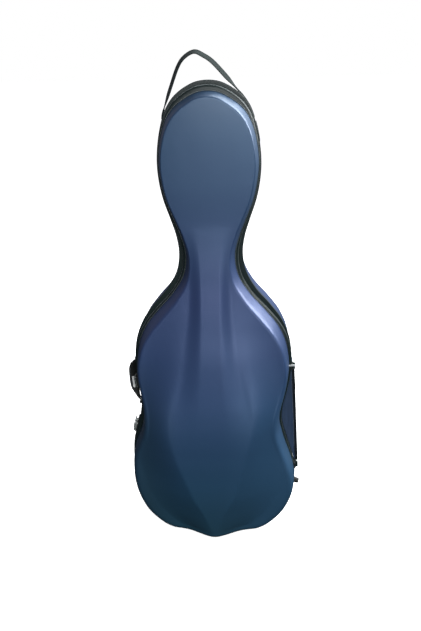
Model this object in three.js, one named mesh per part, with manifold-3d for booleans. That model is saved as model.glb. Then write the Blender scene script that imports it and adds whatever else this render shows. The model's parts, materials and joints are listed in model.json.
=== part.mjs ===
// Cello hard case: two moulded half shells in black edge rims, hinged on the right,
// draw latches on the left, a folding carry handle, a head strap, a side pocket,
// rubber feet, back rings, and a padded interior. Millimetres, +Z up, front towards -Y.
import * as THREE from 'three';
import { mergeVertices } from 'three/addons/utils/BufferGeometryUtils.js';
import Module from 'manifold-3d';

const wasm = await Module();
wasm.setup();

// ---------------------------------------------------------------- driving dimensions
const CASE_X = 0.6;          // the case's middle plane, placed so that the whole object is centred
const CASE_Y = -0.07;
const COLUMNS = 64;          // stations round the outline, even
const SHELL = 4.0;           // wall of both shells
const FOAM = 8.0;            // lining
const FOAM_GAP = 0.5;
const LID_EDGE = 3.6;        // the lid wall starts this far in front of the parting plane
const BACK_EDGE = 4.2;
const RIM_DEPTH = 14.0;
const BACK_IN = 2.8;         // back wall, inside the back rim's outer line
const BACK_WALL = 34.0;      // width of the back's rounded edge
const BACK_LEAN = 0;
const BACK_TIGHT = 3.0;      // tightness of its corner
const SPINE_TOP = 1215;
const SPINE_BOTTOM = 150;

// Half outline of the back rim from the top to the bottom:
// x, z, black band in front (inset of the lid wall), width of the lid's wall, its lean, tightness of its corner,
// and how far the lid's rim lies inside the back rim's outer line
const OUTLINE = [
  [0, 1362, 26, 16, 0.66, 2.6, 12],
  [35, 1357, 26, 16, 0.66, 2.6, 12],
  [55, 1348, 25, 16, 0.66, 2.6, 11.5],
  [74, 1336, 24, 17, 0.66, 2.6, 11],
  [92, 1320, 21, 18, 0.66, 2.6, 9.5],
  [109, 1296, 16, 18, 0.66, 2.6, 7.2],
  [119.5, 1273, 12, 17, 0.64, 2.6, 5.8],
  [126.5, 1250, 9.5, 15, 0.62, 2.6, 5],
  [136.6, 1200, 7.2, 13, 0.6, 2.5, 4.2],
  [140.4, 1150, 7, 12.5, 0.6, 2.5, 3.9],
  [136.9, 1100, 8.2, 12.5, 0.6, 2.4, 4.2],
  [126.8, 1050, 9.5, 13, 0.6, 2.2, 5],
  [110.4, 1000, 12, 14, 0.6, 2, 7],
  [95.5, 950, 16, 15, 0.6, 1.8, 10],
  [89.7, 900, 22, 16, 0.6, 1.7, 13],
  [97.8, 850, 23, 19, 0.6, 1.8, 15],
  [124.3, 800, 20, 22, 0.6, 2, 14.5],
  [166, 750, 18.5, 25, 0.62, 2.3, 12.5],
  [201.8, 700, 16, 24, 0.62, 2.4, 9],
  [222.4, 650, 13, 20, 0.55, 2.2, 4.5],
  [230.9, 600, 10, 18, 0.45, 2, 1.5],
  [231.8, 555, 8, 18, 0.35, 1.8, 1.5],
  [229, 520, 8, 20, 0.3, 1.6, 1.5],
  [223, 480, 8.5, 23, 0.25, 1.4, 1.5],
  [217.5, 445, 10, 25, 0.2, 1.3, 1.5],
  [215.6, 412, 11, 26, 0.2, 1.3, 1.5],
  [218, 378, 11.5, 26, 0.18, 1.3, 1.5],
  [227, 343, 10.5, 25, 0.16, 1.3, 1.5],
  [237, 308, 8.5, 24, 0.14, 1.3, 1.5],
  [245, 270, 5.5, 24, 0.12, 1.3, 1.5],
  [250, 231, 3.8, 24, 0.1, 1.3, 1.5],
  [251, 195, 3, 25, 0.08, 1.3, 1.5],
  [247, 160, 3, 26, 0.06, 1.3, 1.5],
  [235, 120, 3, 28, 0.04, 1.3, 1.5],
  [215.5, 81, 3, 30, 0.02, 1.35, 1.5],
  [188, 48, 3, 31, 0, 1.4, 1.5],
  [158, 23, 3, 31, 0, 1.5, 1.5],
  [131, 10.5, 3, 31, 0, 1.55, 1.5],
  [105, 6.4, 3, 31, 0, 1.55, 1.5],
  [60, 6, 3, 31, 0, 1.5, 1.5],
  [0, 6, 3, 32, 0, 1.35, 1.5],
];
// How far the middle of the outline lies to one side: z, x
const SWAY = [[0, 0], [120, 0], [160, -0.5], [195, -2], [231, -5], [270, -10], [308, -13.8], [343, -14], [378, -12.5], [412, -8.5], [445, -4.5], [480, -1.5], [520, -0.5], [560, 0], [1362, 0]];

// Depth of the lid's front panel from the parting plane, away from the middle: z, depth
const LID_BASE = [[0, 74], [60, 77], [150, 83], [300, 84], [420, 84], [500, 82], [600, 77], [700, 69], [800, 61], [900, 56], [1000, 53.5], [1100, 53], [1250, 52], [1362, 51]];
// Narrow ridge over the fingerboard: z, height, half width of its top, half width of its foot, crispness of both
const RIDGE = [[0, 0, 44, 150, 0, 0], [300, 0, 44, 150, 0, 0], [350, 1, 43, 142, 0, 0], [400, 3, 40, 130, 0, 0], [450, 5.5, 37, 116, 0.1, 0], [500, 8, 34, 102, 0.2, 0], [550, 10, 31, 92, 0.25, 0], [600, 11.5, 29, 84, 0.3, 0], [650, 12.5, 28, 76, 0.35, 0], [700, 13, 27, 69, 0.4, 0], [750, 13, 26, 63, 0.4, 0], [800, 12, 26, 60, 0.4, 0], [850, 9.5, 26, 60, 0.35, 0], [900, 6, 28, 63, 0.3, 0], [950, 2.5, 32, 70, 0.1, 0], [1000, 0, 38, 78, 0, 0], [1362, 0, 44, 90, 0, 0]];
// Broad dome over the bridge that runs down into a keel
const DOME = [[0, 42, 1, 70, 0.6, 0.2], [20, 45, 2, 84, 0.6, 0.2], [50, 48.5, 8, 116, 0.7, 0.25], [78, 50, 17, 142, 0.85, 0.3], [119, 51, 32, 172, 0.95, 0.3], [169, 52.5, 57, 196, 1, 0.3], [200, 53, 68, 204, 1, 0.3], [240, 53.2, 81, 210, 0.95, 0.3], [285, 53.55, 93, 215, 0.85, 0.3], [320, 52.6, 102, 217, 0.75, 0.3], [355, 51, 111, 217, 0.6, 0.3], [400, 46.5, 120, 217, 0.4, 0.3], [450, 39, 120, 216, 0.2, 0.3], [500, 31, 108, 213, 0.1, 0.2], [550, 24, 90, 206, 0, 0.1], [600, 18, 76, 196, 0, 0], [700, 7, 56, 168, 0, 0], [800, 1, 50, 130, 0, 0], [850, 0, 50, 120, 0, 0], [1362, 0, 50, 120, 0, 0]];
// Gentle crown across the whole front: z, height, half width
const CROWN = [[0, 0, 150], [100, 1, 200], [300, 2, 215], [550, 3, 215], [700, 3, 190], [800, 2.4, 120], [900, 2.2, 80], [1000, 3, 100], [1100, 4, 128], [1200, 4.2, 130], [1280, 3.5, 118], [1330, 2.5, 90], [1362, 1.8, 70]];
// Depth of the back panel
const BACK_BASE = [[0, 121.5], [60, 127.5], [150, 131.3], [300, 132], [500, 130.8], [600, 125.5], [700, 114.5], [800, 100], [900, 86.5], [1000, 77], [1100, 71.5], [1250, 68.5], [1362, 66]];

// Hinge line: it leans, because it touches both bouts
const HINGE_HIGH = new THREE.Vector3(238.2, 0, 560);
const HINGE_LOW = new THREE.Vector3(253.45, 0, 228);
const KNUCKLE_R = 4.2;
const PIN_R = 1.6;
const PIN_GAP = 0.35;
const LEAF = 10;             // half height of a hinge leaf
const HINGE_Z = { upper: 556, lower: 219 };

const LATCH_Z = { upper: 503, waist: 348, lower: 140 };
const HANDLE_HIGH = new THREE.Vector3(-234.5, 34, 558);
const HANDLE_LOW = new THREE.Vector3(-228.3, 34, 418);
const HANDLE_LEAN = 55;      // degrees back from straight out, at rest
const HANDLE_REACH = 38;

// ---------------------------------------------------------------- finishes
const finish = (color, roughness, metalness = 0) => () => new THREE.MeshStandardMaterial({ color, roughness, metalness });
const shellBlue = finish(0x4a5f86, 0.45);
const rimBlack = finish(0x1b2120, 0.5);
const rubber = finish(0x111413, 0.8);
const plush = finish(0x23262c, 0.95);
const plushGrey = finish(0x50545c, 0.95);
const steel = finish(0xb9bdbd, 0.25, 1);
const webbing = finish(0x252b2a, 0.85);
const fabricBlue = finish(0x3a4c6c, 0.9);

// ---------------------------------------------------------------- small maths
const smooth = (t) => { t = Math.min(1, Math.max(0, t)); return t * t * (3 - 2 * t); };

// cubic through the rows of a table, by its first column, without overshoot at the ends
function rowAt(table, key) {
  const n = table.length;
  if (key <= table[0][0]) return table[0].slice(1);
  if (key >= table[n - 1][0]) return table[n - 1].slice(1);
  let i = 0;
  while (table[i + 1][0] < key) i++;
  const a = table[i], b = table[i + 1], h = b[0] - a[0], t = (key - a[0]) / h;
  const slope = (k, c) => {
    if (k === 0) return (table[1][c] - table[0][c]) / (table[1][0] - table[0][0]);
    if (k === n - 1) return (table[n - 1][c] - table[n - 2][c]) / (table[n - 1][0] - table[n - 2][0]);
    return (table[k + 1][c] - table[k - 1][c]) / (table[k + 1][0] - table[k - 1][0]);
  };
  const out = [];
  for (let c = 1; c < a.length; c++) {
    const m0 = slope(i, c) * h, m1 = slope(i + 1, c) * h, t2 = t * t, t3 = t2 * t;
    out.push(a[c] * (2 * t3 - 3 * t2 + 1) + m0 * (t3 - 2 * t2 + t) + b[c] * (-2 * t3 + 3 * t2) + m1 * (t3 - t2));
  }
  return out;
}

// the outline as one curve over its chord length
const chord = [0];
for (let i = 1; i < OUTLINE.length; i++)
  chord.push(chord[i - 1] + Math.hypot(OUTLINE[i][0] - OUTLINE[i - 1][0], OUTLINE[i][1] - OUTLINE[i - 1][1]));
const HALF = chord[chord.length - 1];

function row(i) {            // table row, mirrored past both ends
  const last = OUTLINE.length - 1;
  if (i < 0) { const r = OUTLINE[-i]; return { u: -chord[-i], v: [-r[0], ...r.slice(1)] }; }
  if (i > last) { const j = 2 * last - i, r = OUTLINE[j]; return { u: 2 * HALF - chord[j], v: [-r[0], ...r.slice(1)] }; }
  return { u: chord[i], v: OUTLINE[i] };
}

function outlineAt(u) {      // u from 0 at the top to HALF at the bottom, right side
  let i = 0;
  while (i < OUTLINE.length - 2 && chord[i + 1] < u) i++;
  const p0 = row(i - 1), p1 = row(i), p2 = row(i + 1), p3 = row(i + 2);
  const h = p2.u - p1.u, t = (u - p1.u) / h, t2 = t * t, t3 = t2 * t, out = [], der = [];
  const tangent = (a, b, c, k) => {
    const d0 = b.u - a.u, d1 = c.u - b.u;
    return (d1 / (d0 + d1)) * (b.v[k] - a.v[k]) / d0 + (d0 / (d0 + d1)) * (c.v[k] - b.v[k]) / d1;
  };
  for (let k = 0; k < 7; k++) {
    const m0 = tangent(p0, p1, p2, k) * h, m1 = tangent(p1, p2, p3, k) * h, a = p1.v[k], b = p2.v[k];
    out.push(a * (2 * t3 - 3 * t2 + 1) + m0 * (t3 - 2 * t2 + t) + b * (-2 * t3 + 3 * t2) + m1 * (t3 - t2));
    der.push((a * (6 * t2 - 6 * t) + m0 * (3 * t2 - 4 * t + 1) + b * (-6 * t2 + 6 * t) + m1 * (3 * t2 - 2 * t)) / h);
  }
  const len = Math.hypot(der[0], der[1]);
  return { x: out[0], z: out[1], nx: -der[1] / len, nz: der[0] / len, band: out[2], wall: out[3], lean: Math.min(0.9, Math.max(0, out[4])), tight: out[5], seam: Math.max(1.5, out[6]) };
}

// a place on the right or left half, on the swayed middle; the band is narrower on the right of the waist
function station(u, side = 1) {
  const s = outlineAt(u), lean = Math.exp(-(((s.z - 368) / 66) ** 2));
  const band = Math.max(3, side > 0 ? s.band - 4.5 * lean : s.band + 2.5 * lean);
  return { ...s, band, even: s.band, x: side * s.x + rowAt(SWAY, s.z)[0], nx: side * s.nx };
}

// chord length at which the side passes a height
function chordAtZ(z) {
  let a = 0, b = HALF;
  for (let k = 0; k < 60; k++) { const m = (a + b) / 2; if (outlineAt(m).z > z) a = m; else b = m; }
  return (a + b) / 2;
}

// stations crowd where the outline bends
function spreadStations(count) {
  const fine = 800, weight = [0];
  let before = outlineAt(0);
  for (let i = 1; i <= fine; i++) {
    const s = outlineAt((HALF * i) / fine);
    const turn = Math.acos(Math.min(1, s.nx * before.nx + s.nz * before.nz));
    weight.push(weight[i - 1] + HALF / fine / 60 + turn * 2.6);
    before = s;
  }
  const us = [];
  let i = 0;
  for (let k = 0; k <= count; k++) {
    const want = (weight[fine] * k) / count;
    while (i < fine - 1 && weight[i + 1] < want) i++;
    us.push((HALF * (i + (want - weight[i]) / (weight[i + 1] - weight[i]))) / fine);
  }
  us[0] = 0; us[count] = HALF;
  return us;
}
const halfU = spreadStations(COLUMNS / 2);
const stations = [];
for (let k = 0; k < COLUMNS; k++)
  stations.push(k <= COLUMNS / 2 ? station(halfU[k]) : station(halfU[COLUMNS - k], -1));
for (const k of [0, COLUMNS / 2]) { stations[k].x = 0; stations[k].nx = 0; stations[k].nz = Math.sign(stations[k].nz); }

// ---------------------------------------------------------------- shape of the shells
function lidDepth(x, z) {
  const [base] = rowAt(LID_BASE, z);
  const ax = Math.abs(x - rowAt(SWAY, z)[0] * Math.min(1, Math.abs(x) / 200)), [c, half] = rowAt(CROWN, z);
  const raised = ([h, a, b, m0, m1]) => {
    const t = Math.min(1, Math.max(0, (ax - a) / (b - a))), t2 = t * t, t3 = t2 * t;
    return h * (2 * t3 - 3 * t2 + 1 - m0 * (t3 - 2 * t2 + t) - m1 * (t3 - t2));
  };
  return base + raised(rowAt(RIDGE, z)) + raised(rowAt(DOME, z)) + c * Math.max(0, 1 - (ax / half) ** 2);
}
function backDepth(x, z) {
  return rowAt(BACK_BASE, z)[0] - 5 * Math.min(1, (x / 210) ** 2);
}

// One point of a shell's skin. off is how far it lies inside the outer skin.
// part: 'edge' at a depth, 'wall' from its foot (0) to the front corner (1), 'panel' from the corner (0) to the spine (1)
function skin(side, s, off, part, v) {
  const lid = side === 'lid';
  const inset = (lid ? s.band : BACK_IN) + off;
  const [w, lean, tight] = lid ? [s.wall, s.lean, s.tight] : [BACK_WALL, BACK_LEAN, BACK_TIGHT];
  const depth = lid ? lidDepth : backDepth, sign = lid ? -1 : 1;
  const xi = s.x - s.nx * (inset + w), zi = s.z - s.nz * (inset + w);
  if (part === 'panel') {
    const zs = Math.min(SPINE_TOP, Math.max(SPINE_BOTTOM, s.z - s.nz * ((lid ? s.even : BACK_IN) + off + w)));
    const x = xi * (1 - v), z = zi + (zs - zi) * v;
    return new THREE.Vector3(x, sign * (depth(x, z) - off), z);
  }
  if (part === 'edge')
    return new THREE.Vector3(s.x - s.nx * inset, sign * v, s.z - s.nz * inset);
  const k = 2 * tight * v * (1 - v), den = (1 - v) ** 2 + k + v * v, foot = RIM_DEPTH + 0.5;
  const a = (k * lean + v * v) / den, g = (k + v * v) / den;
  const at = inset + w * a, full = depth(xi, zi) - off;
  return new THREE.Vector3(s.x - s.nx * at, sign * (foot + (full - foot) * g), s.z - s.nz * at);
}

// ---------------------------------------------------------------- mesh helpers
function closed(positions, faces) {
  let g = new THREE.BufferGeometry();
  g.setAttribute('position', new THREE.Float32BufferAttribute(positions.flatMap((p) => [p.x, p.y, p.z]), 3));
  g.setIndex(faces.flat());
  g = mergeVertices(g, 1e-3);
  const idx = g.index.array, pos = g.attributes.position.array, keep = [];
  let volume = 0;
  for (let i = 0; i < idx.length; i += 3) {
    const [a, b, c] = [idx[i], idx[i + 1], idx[i + 2]];
    if (a === b || b === c || a === c) continue;
    keep.push(a, b, c);
    const A = a * 3, B = b * 3, C = c * 3;
    volume += pos[A] * (pos[B + 1] * pos[C + 2] - pos[B + 2] * pos[C + 1])
      - pos[A + 1] * (pos[B] * pos[C + 2] - pos[B + 2] * pos[C])
      + pos[A + 2] * (pos[B] * pos[C + 1] - pos[B + 1] * pos[C]);
  }
  if (volume < 0) for (let i = 0; i < keep.length; i += 3) [keep[i], keep[i + 1]] = [keep[i + 1], keep[i]];
  g.setIndex(keep);
  return g;
}

// rows of points joined in order; every row closes on itself
function rowsToFaces(rows, wrapRows = false) {
  const n = rows[0].length, faces = [], m = rows.length;
  for (let r = 0; r < (wrapRows ? m : m - 1); r++)
    for (let k = 0; k < n; k++) {
      const a = r * n + k, b = r * n + ((k + 1) % n), c = ((r + 1) % m) * n + ((k + 1) % n), d = ((r + 1) % m) * n + k;
      faces.push([a, b, c], [a, c, d]);
    }
  return faces;
}

// a shell between two skins: out along the outer rows to the spine and back along the inner rows
function shellBody(side, outer, inner, edge, walls, panels) {
  const layer = (off) => [
    ...edge.map((d) => stations.map((s) => skin(side, s, off, 'edge', d))),
    ...walls.map((t) => stations.map((s) => skin(side, s, off, 'wall', t))),
    ...panels.map((t) => stations.map((s) => skin(side, s, off, 'panel', t))),
  ];
  const a = layer(outer), b = layer(inner), n = COLUMNS;
  const points = [...a.flat(), ...b.flat()], faces = [];
  rowsToFaces(a).forEach((f) => faces.push(f));
  rowsToFaces(b).forEach((f) => faces.push([f[0] + a.length * n, f[2] + a.length * n, f[1] + a.length * n]));
  for (let k = 0; k < n; k++) {
    const a0 = k, a1 = (k + 1) % n, b0 = a.length * n + k, b1 = a.length * n + ((k + 1) % n);
    faces.push([a0, b0, b1], [a0, b1, a1]);
  }
  return closed(points, faces);
}

// a profile of (inset, y) carried round the whole outline
function rimBody(profile) {
  const rows = stations.map((s) => profile(s).map(([i, y]) => new THREE.Vector3(s.x - s.nx * i, y, s.z - s.nz * i)));
  return closed(rows.flat(), rowsToFaces(rows, true));
}

// a loft through rows, both ends closed by a fan
function loft(rows) {
  const n = rows[0].length, points = rows.flat(), faces = rowsToFaces(rows);
  const cap = (r, flip) => {
    const c = points.length, mid = new THREE.Vector3();
    rows[r].forEach((p) => mid.add(p));
    points.push(mid.divideScalar(n));
    for (let k = 0; k < n; k++) {
      const a = r * n + k, b = r * n + ((k + 1) % n);
      faces.push(flip ? [c, b, a] : [c, a, b]);
    }
  };
  cap(0, true);
  cap(rows.length - 1, false);
  return closed(points, faces);
}

// a block that follows the outline between two heights, from inset a to inset b and from y0 to y1
function bandBlock(zTop, zLow, side, a, b, y0, y1, steps) {
  const u0 = chordAtZ(zTop), u1 = chordAtZ(zLow), rows = [];
  for (let i = 0; i <= steps; i++) {
    const s = station(u0 + ((u1 - u0) * i) / steps, side);
    const at = (inset, y) => new THREE.Vector3(s.x - s.nx * inset, y, s.z - s.nz * inset);
    rows.push([at(a, y0), at(b, y0), at(b, y1), at(a, y1)]);
  }
  return loft(rows);
}

const toSolid = (g, m) => {
  let h = g.clone();
  h.deleteAttribute('normal'); h.deleteAttribute('uv');
  if (m) h.applyMatrix4(m);
  h = mergeVertices(h, 1e-4);
  return new wasm.Manifold(new wasm.Mesh({ numProp: 3, vertProperties: new Float32Array(h.attributes.position.array), triVerts: new Uint32Array(h.index.array) }));
};
const fromSolid = (s) => {
  const m = s.getMesh(), g = new THREE.BufferGeometry(), v = new Float32Array(m.numVert * 3);
  for (let i = 0; i < m.numVert; i++) v.set(m.vertProperties.subarray(i * m.numProp, i * m.numProp + 3), i * 3);
  g.setAttribute('position', new THREE.BufferAttribute(v, 3));
  g.setIndex(new THREE.BufferAttribute(new Uint32Array(m.triVerts), 1));
  return g;
};
const join = (...gs) => fromSolid(gs.map((g) => toSolid(g)).reduce((a, b) => a.add(b)));
const cut = (g, ...tools) => fromSolid(tools.reduce((a, b) => a.subtract(toSolid(b)), toSolid(g)));

const box = (x0, x1, y0, y1, z0, z1) => {
  const g = new THREE.BoxGeometry(x1 - x0, y1 - y0, z1 - z0);
  g.translate((x0 + x1) / 2, (y0 + y1) / 2, (z0 + z1) / 2);
  return g;
};
// a round bar from a to b
function bar(a, b, r, r2 = r, sides = 10) {
  const d = b.clone().sub(a), g = new THREE.CylinderGeometry(r2, r, d.length(), sides);
  g.applyQuaternion(new THREE.Quaternion().setFromUnitVectors(new THREE.Vector3(0, 1, 0), d.clone().normalize()));
  g.translate((a.x + b.x) / 2, (a.y + b.y) / 2, (a.z + b.z) / 2);
  return g;
}
const V = (x, y, z) => new THREE.Vector3(x, y, z);

const root = new THREE.Group();
const add = (name, geometry, material, parent = root) => {
  geometry.computeVertexNormals();
  const mesh = new THREE.Mesh(geometry, material());
  mesh.name = name;
  parent.add(mesh);
  return mesh;
};
// a group whose X runs along the outline, Y to the back and Z straight out of the side
function onSide(z, side, inset = 0) {
  const s = station(chordAtZ(z), side), g = new THREE.Group();
  g.matrix.makeBasis(V(s.nz, 0, -s.nx), V(0, 1, 0), V(s.nx, 0, s.nz));
  g.matrix.setPosition(s.x - s.nx * inset, 0, s.z - s.nz * inset);
  g.matrix.decompose(g.position, g.quaternion, g.scale);
  root.add(g);
  return g;
}

// ---------------------------------------------------------------- shells, rims, lining
const RAD = Math.PI / 180;
const WALLS = [0.28, 0.6, 1];
add('back_shell', shellBody('back', 0, SHELL, [BACK_EDGE, RIM_DEPTH + 0.5], WALLS, [0.5, 1]), shellBlue);
add('lid_shell', shellBody('lid', 0, SHELL, [LID_EDGE, RIM_DEPTH + 0.5], WALLS, [0.38, 0.74, 1]), shellBlue);
add('back_lining', shellBody('back', SHELL + FOAM_GAP, SHELL + FOAM_GAP + FOAM, [BACK_EDGE], WALLS, [0.5, 1]), plush);
add('lid_lining', shellBody('lid', SHELL + FOAM_GAP, SHELL + FOAM_GAP + FOAM, [LID_EDGE], WALLS, [0.38, 0.74, 1]), plush);
add('back_rim', rimBody((s) => {
  const e = s.seam + 1.6;
  return [[0, 0.3], [e, 0.3], [e, 2.2], [e + 5.4, 2.2], [e + 5.4, 3.9], [2.5, 3.9], [2.5, RIM_DEPTH], [0, 11.5]];
}), rimBlack);
add('lid_rim', rimBody((s) => {
  const i = s.band - 0.3, e = Math.min(s.seam, s.band - 1.2);
  return [[e, -0.3], [e, -10.5], [e + 0.35 * (i - e), -13.2], [i, -RIM_DEPTH], [i, -3.3], [s.band + 5, -3.3], [s.band + 5, -0.3]];
}), rimBlack);
add('rim_gasket', rimBody((s) => [[s.seam + 2, 0.35], [s.seam + 6.1, 0.35], [s.seam + 6.1, 1.9], [s.seam + 2, 1.9]]), rubber);

// ---------------------------------------------------------------- hinges
const hingeAxis = HINGE_LOW.clone().sub(HINGE_HIGH).normalize();   // points down
const tiltUp = new THREE.Quaternion().setFromUnitVectors(V(0, 0, 1), hingeAxis.clone().negate());
// the space that the rims take up, with a little clearance, for fitting pads against them
const backRimSpace = toSolid(rimBody(() => [[-0.35, -1], [25, -1], [25, 16], [-0.35, 16]]));
const lidRimSpace = toSolid(rimBody((s) => [[s.seam - 0.35, -16], [25, -16], [25, 1], [s.seam - 0.35, 1]]));
function hinge(name, z) {
  const t = (z - HINGE_HIGH.z) / (HINGE_LOW.z - HINGE_HIGH.z);
  const g = new THREE.Group();
  g.position.copy(HINGE_HIGH).lerp(HINGE_LOW, t);
  g.quaternion.copy(tiltUp);
  root.add(g);
  const bore = bar(V(0, 0, -30), V(0, 0, 30), PIN_R + PIN_GAP, PIN_R + PIN_GAP, 12);
  const knuckle = (a, b) => bar(V(0, 0, a), V(0, 0, b), KNUCKLE_R, KNUCKLE_R, 12);
  const screw = (y, zz) => bar(V(-3.4, y, zz), V(-2.2, y, zz), 3, 2.2, 8);
  g.updateMatrixWorld(true);
  const pad = (y0, y1, z0, z1, space) => {
    const world = toSolid(box(-15, -4.4, y0, y1, z0, z1), g.matrixWorld).subtract(space);
    const best = world.decompose().sort((a, b) => b.boundingBox().max[0] - a.boundingBox().max[0])[0];
    return fromSolid(best).applyMatrix4(g.matrixWorld.clone().invert());
  };
  const leafBack = join(pad(1.2, 13.2, 0.6 - LEAF, LEAF - 0.6, backRimSpace), box(-4.9, -3.0, 0.8, 13.6, -LEAF, LEAF), box(-4.9, -2.2, 0.8, 3.4, -LEAF, -3.6), box(-4.9, -2.2, 0.8, 3.4, 3.6, LEAF), screw(9.4, 5), screw(9.4, -5));
  add(name + '_back_leaf', cut(join(cut(leafBack, box(-6, 2, -2, 4.8, -3.6, 3.6)), knuckle(-LEAF, -3.6), knuckle(3.6, LEAF)), bore), rimBlack, g);
  const leafLid = join(pad(-13.2, -1.2, 0.6 - LEAF, LEAF - 0.6, lidRimSpace), box(-4.9, -3.0, -13.6, -0.8, -LEAF, LEAF), box(-4.9, -2.2, -3.4, -0.8, -3.2, 3.2), screw(-9.4, 5), screw(-9.4, -5));
  const clear = [box(-3.0, 2, -5.2, 2, 3.2, 12), box(-3.0, 2, -5.2, 2, -12, -3.2), box(-6, -2, -4.6, 2, 3.2, 12), box(-6, -2, -4.6, 2, -12, -3.2)];
  add(name + '_lid_leaf', cut(join(cut(leafLid, ...clear), knuckle(-3.2, 3.2)), bore), rimBlack, g);
  add(name + '_pin', join(bar(V(0, 0, -LEAF - 1), V(0, 0, LEAF + 1), PIN_R, PIN_R, 10), bar(V(0, 0, LEAF + 0.4), V(0, 0, LEAF + 1.9), 3, 2.2, 10), bar(V(0, 0, -LEAF - 1.9), V(0, 0, -LEAF - 0.4), 2.2, 3, 10)), steel, g);
}
for (const [name, z] of Object.entries(HINGE_Z)) hinge('hinge_' + name, z);
{ // bright clip round the upper end of the upper hinge, over the lid's rim
  const g = new THREE.Group();
  g.position.copy(HINGE_HIGH).lerp(HINGE_LOW, (HINGE_Z.upper - HINGE_HIGH.z) / (HINGE_LOW.z - HINGE_HIGH.z));
  g.quaternion.copy(tiltUp);
  root.add(g);
  add('hinge_upper_clip', join(box(-14.6, 3.4, -16.2, -14.6, 3.6, 9.8), box(-4.6, 3.4, -15.5, -13.95, 3.6, 9.8)), steel, g);
}

// ---------------------------------------------------------------- draw latches
const LATCH_LIFT = { upper: 1.6, waist: 2.4, lower: 1.6 };   // base plate above the rim's outer line
function latch(name, z, lift) {
  const g = onSide(z, -1, -lift);
  // base plate with a raised stop and two ears that carry the lever's pivot at y 8, height 5
  const ear = (x) => join(box(x - 0.8, x + 0.8, 5.4, 10.6, 0.8, 5), bar(V(x - 0.8, 8, 5), V(x + 0.8, 8, 5), 2.7, 2.7, 12));
  const plate = join(box(-21.5, 21.5, 3, 36, 0, 1.5), box(-12, 12, 12, 27, 1, 6.4), ear(-10.8), ear(10.8), bar(V(0, 31, 1.2), V(0, 31, 2.3), 3, 2.2, 8));
  add(name + '_base', cut(plate, bar(V(-16, 8, 5), V(16, 8, 5), 1.75, 1.75, 8)), steel, g);
  // lever: a cover with two cheeks, its pivot pin, and a turned-up finger tab
  const cheek = (x) => join(box(x - 0.75, x + 0.75, 8.6, 30, 3.2, 8.8), bar(V(x - 0.75, 8, 5), V(x + 0.75, 8, 5), 3.0, 3.0, 12));
  const cover = join(box(-15, 15, 9.2, 33, 7.9, 9.4), cheek(-14.25), cheek(14.25), box(-11.5, 11.5, 32, 36.5, 7.9, 9.9), bar(V(-14.8, 8, 5), V(14.8, 8, 5), 1.35, 1.35, 8));
  add(name + '_lever', cut(cover, bar(V(-16.5, 14, 4.6), V(-13.3, 14, 4.6), 1.5, 1.5, 6), bar(V(13.3, 14, 4.6), V(16.5, 14, 4.6), 1.5, 1.5, 6)), steel, g);
  // bail: a square-bent loop from the lever to behind the keeper's rib
  const side = (x) => box(x - 1, x + 1, -11, 15.2, 3.6, 5.6);
  add(name + '_bail', join(side(-16.9), side(16.9), box(-17.9, 17.9, -11, -9, 3.6, 5.6), bar(V(-16.9, 14, 4.6), V(-13.4, 14, 4.6), 1.0, 1.0, 6), bar(V(13.4, 14, 4.6), V(16.9, 14, 4.6), 1.0, 1.0, 6)), steel, g);
  add(name + '_keeper', join(box(-15.5, 15.5, -13.4, -2, -1.2, 0.6), box(-14, 14, -8.4, -6.4, 0.4, 6.4), box(-14, 14, -8.4, -3.4, 0.4, 2.0)), steel, g);
}
for (const [name, z] of Object.entries(LATCH_Z)) latch('latch_' + name, z, LATCH_LIFT[name]);

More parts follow.
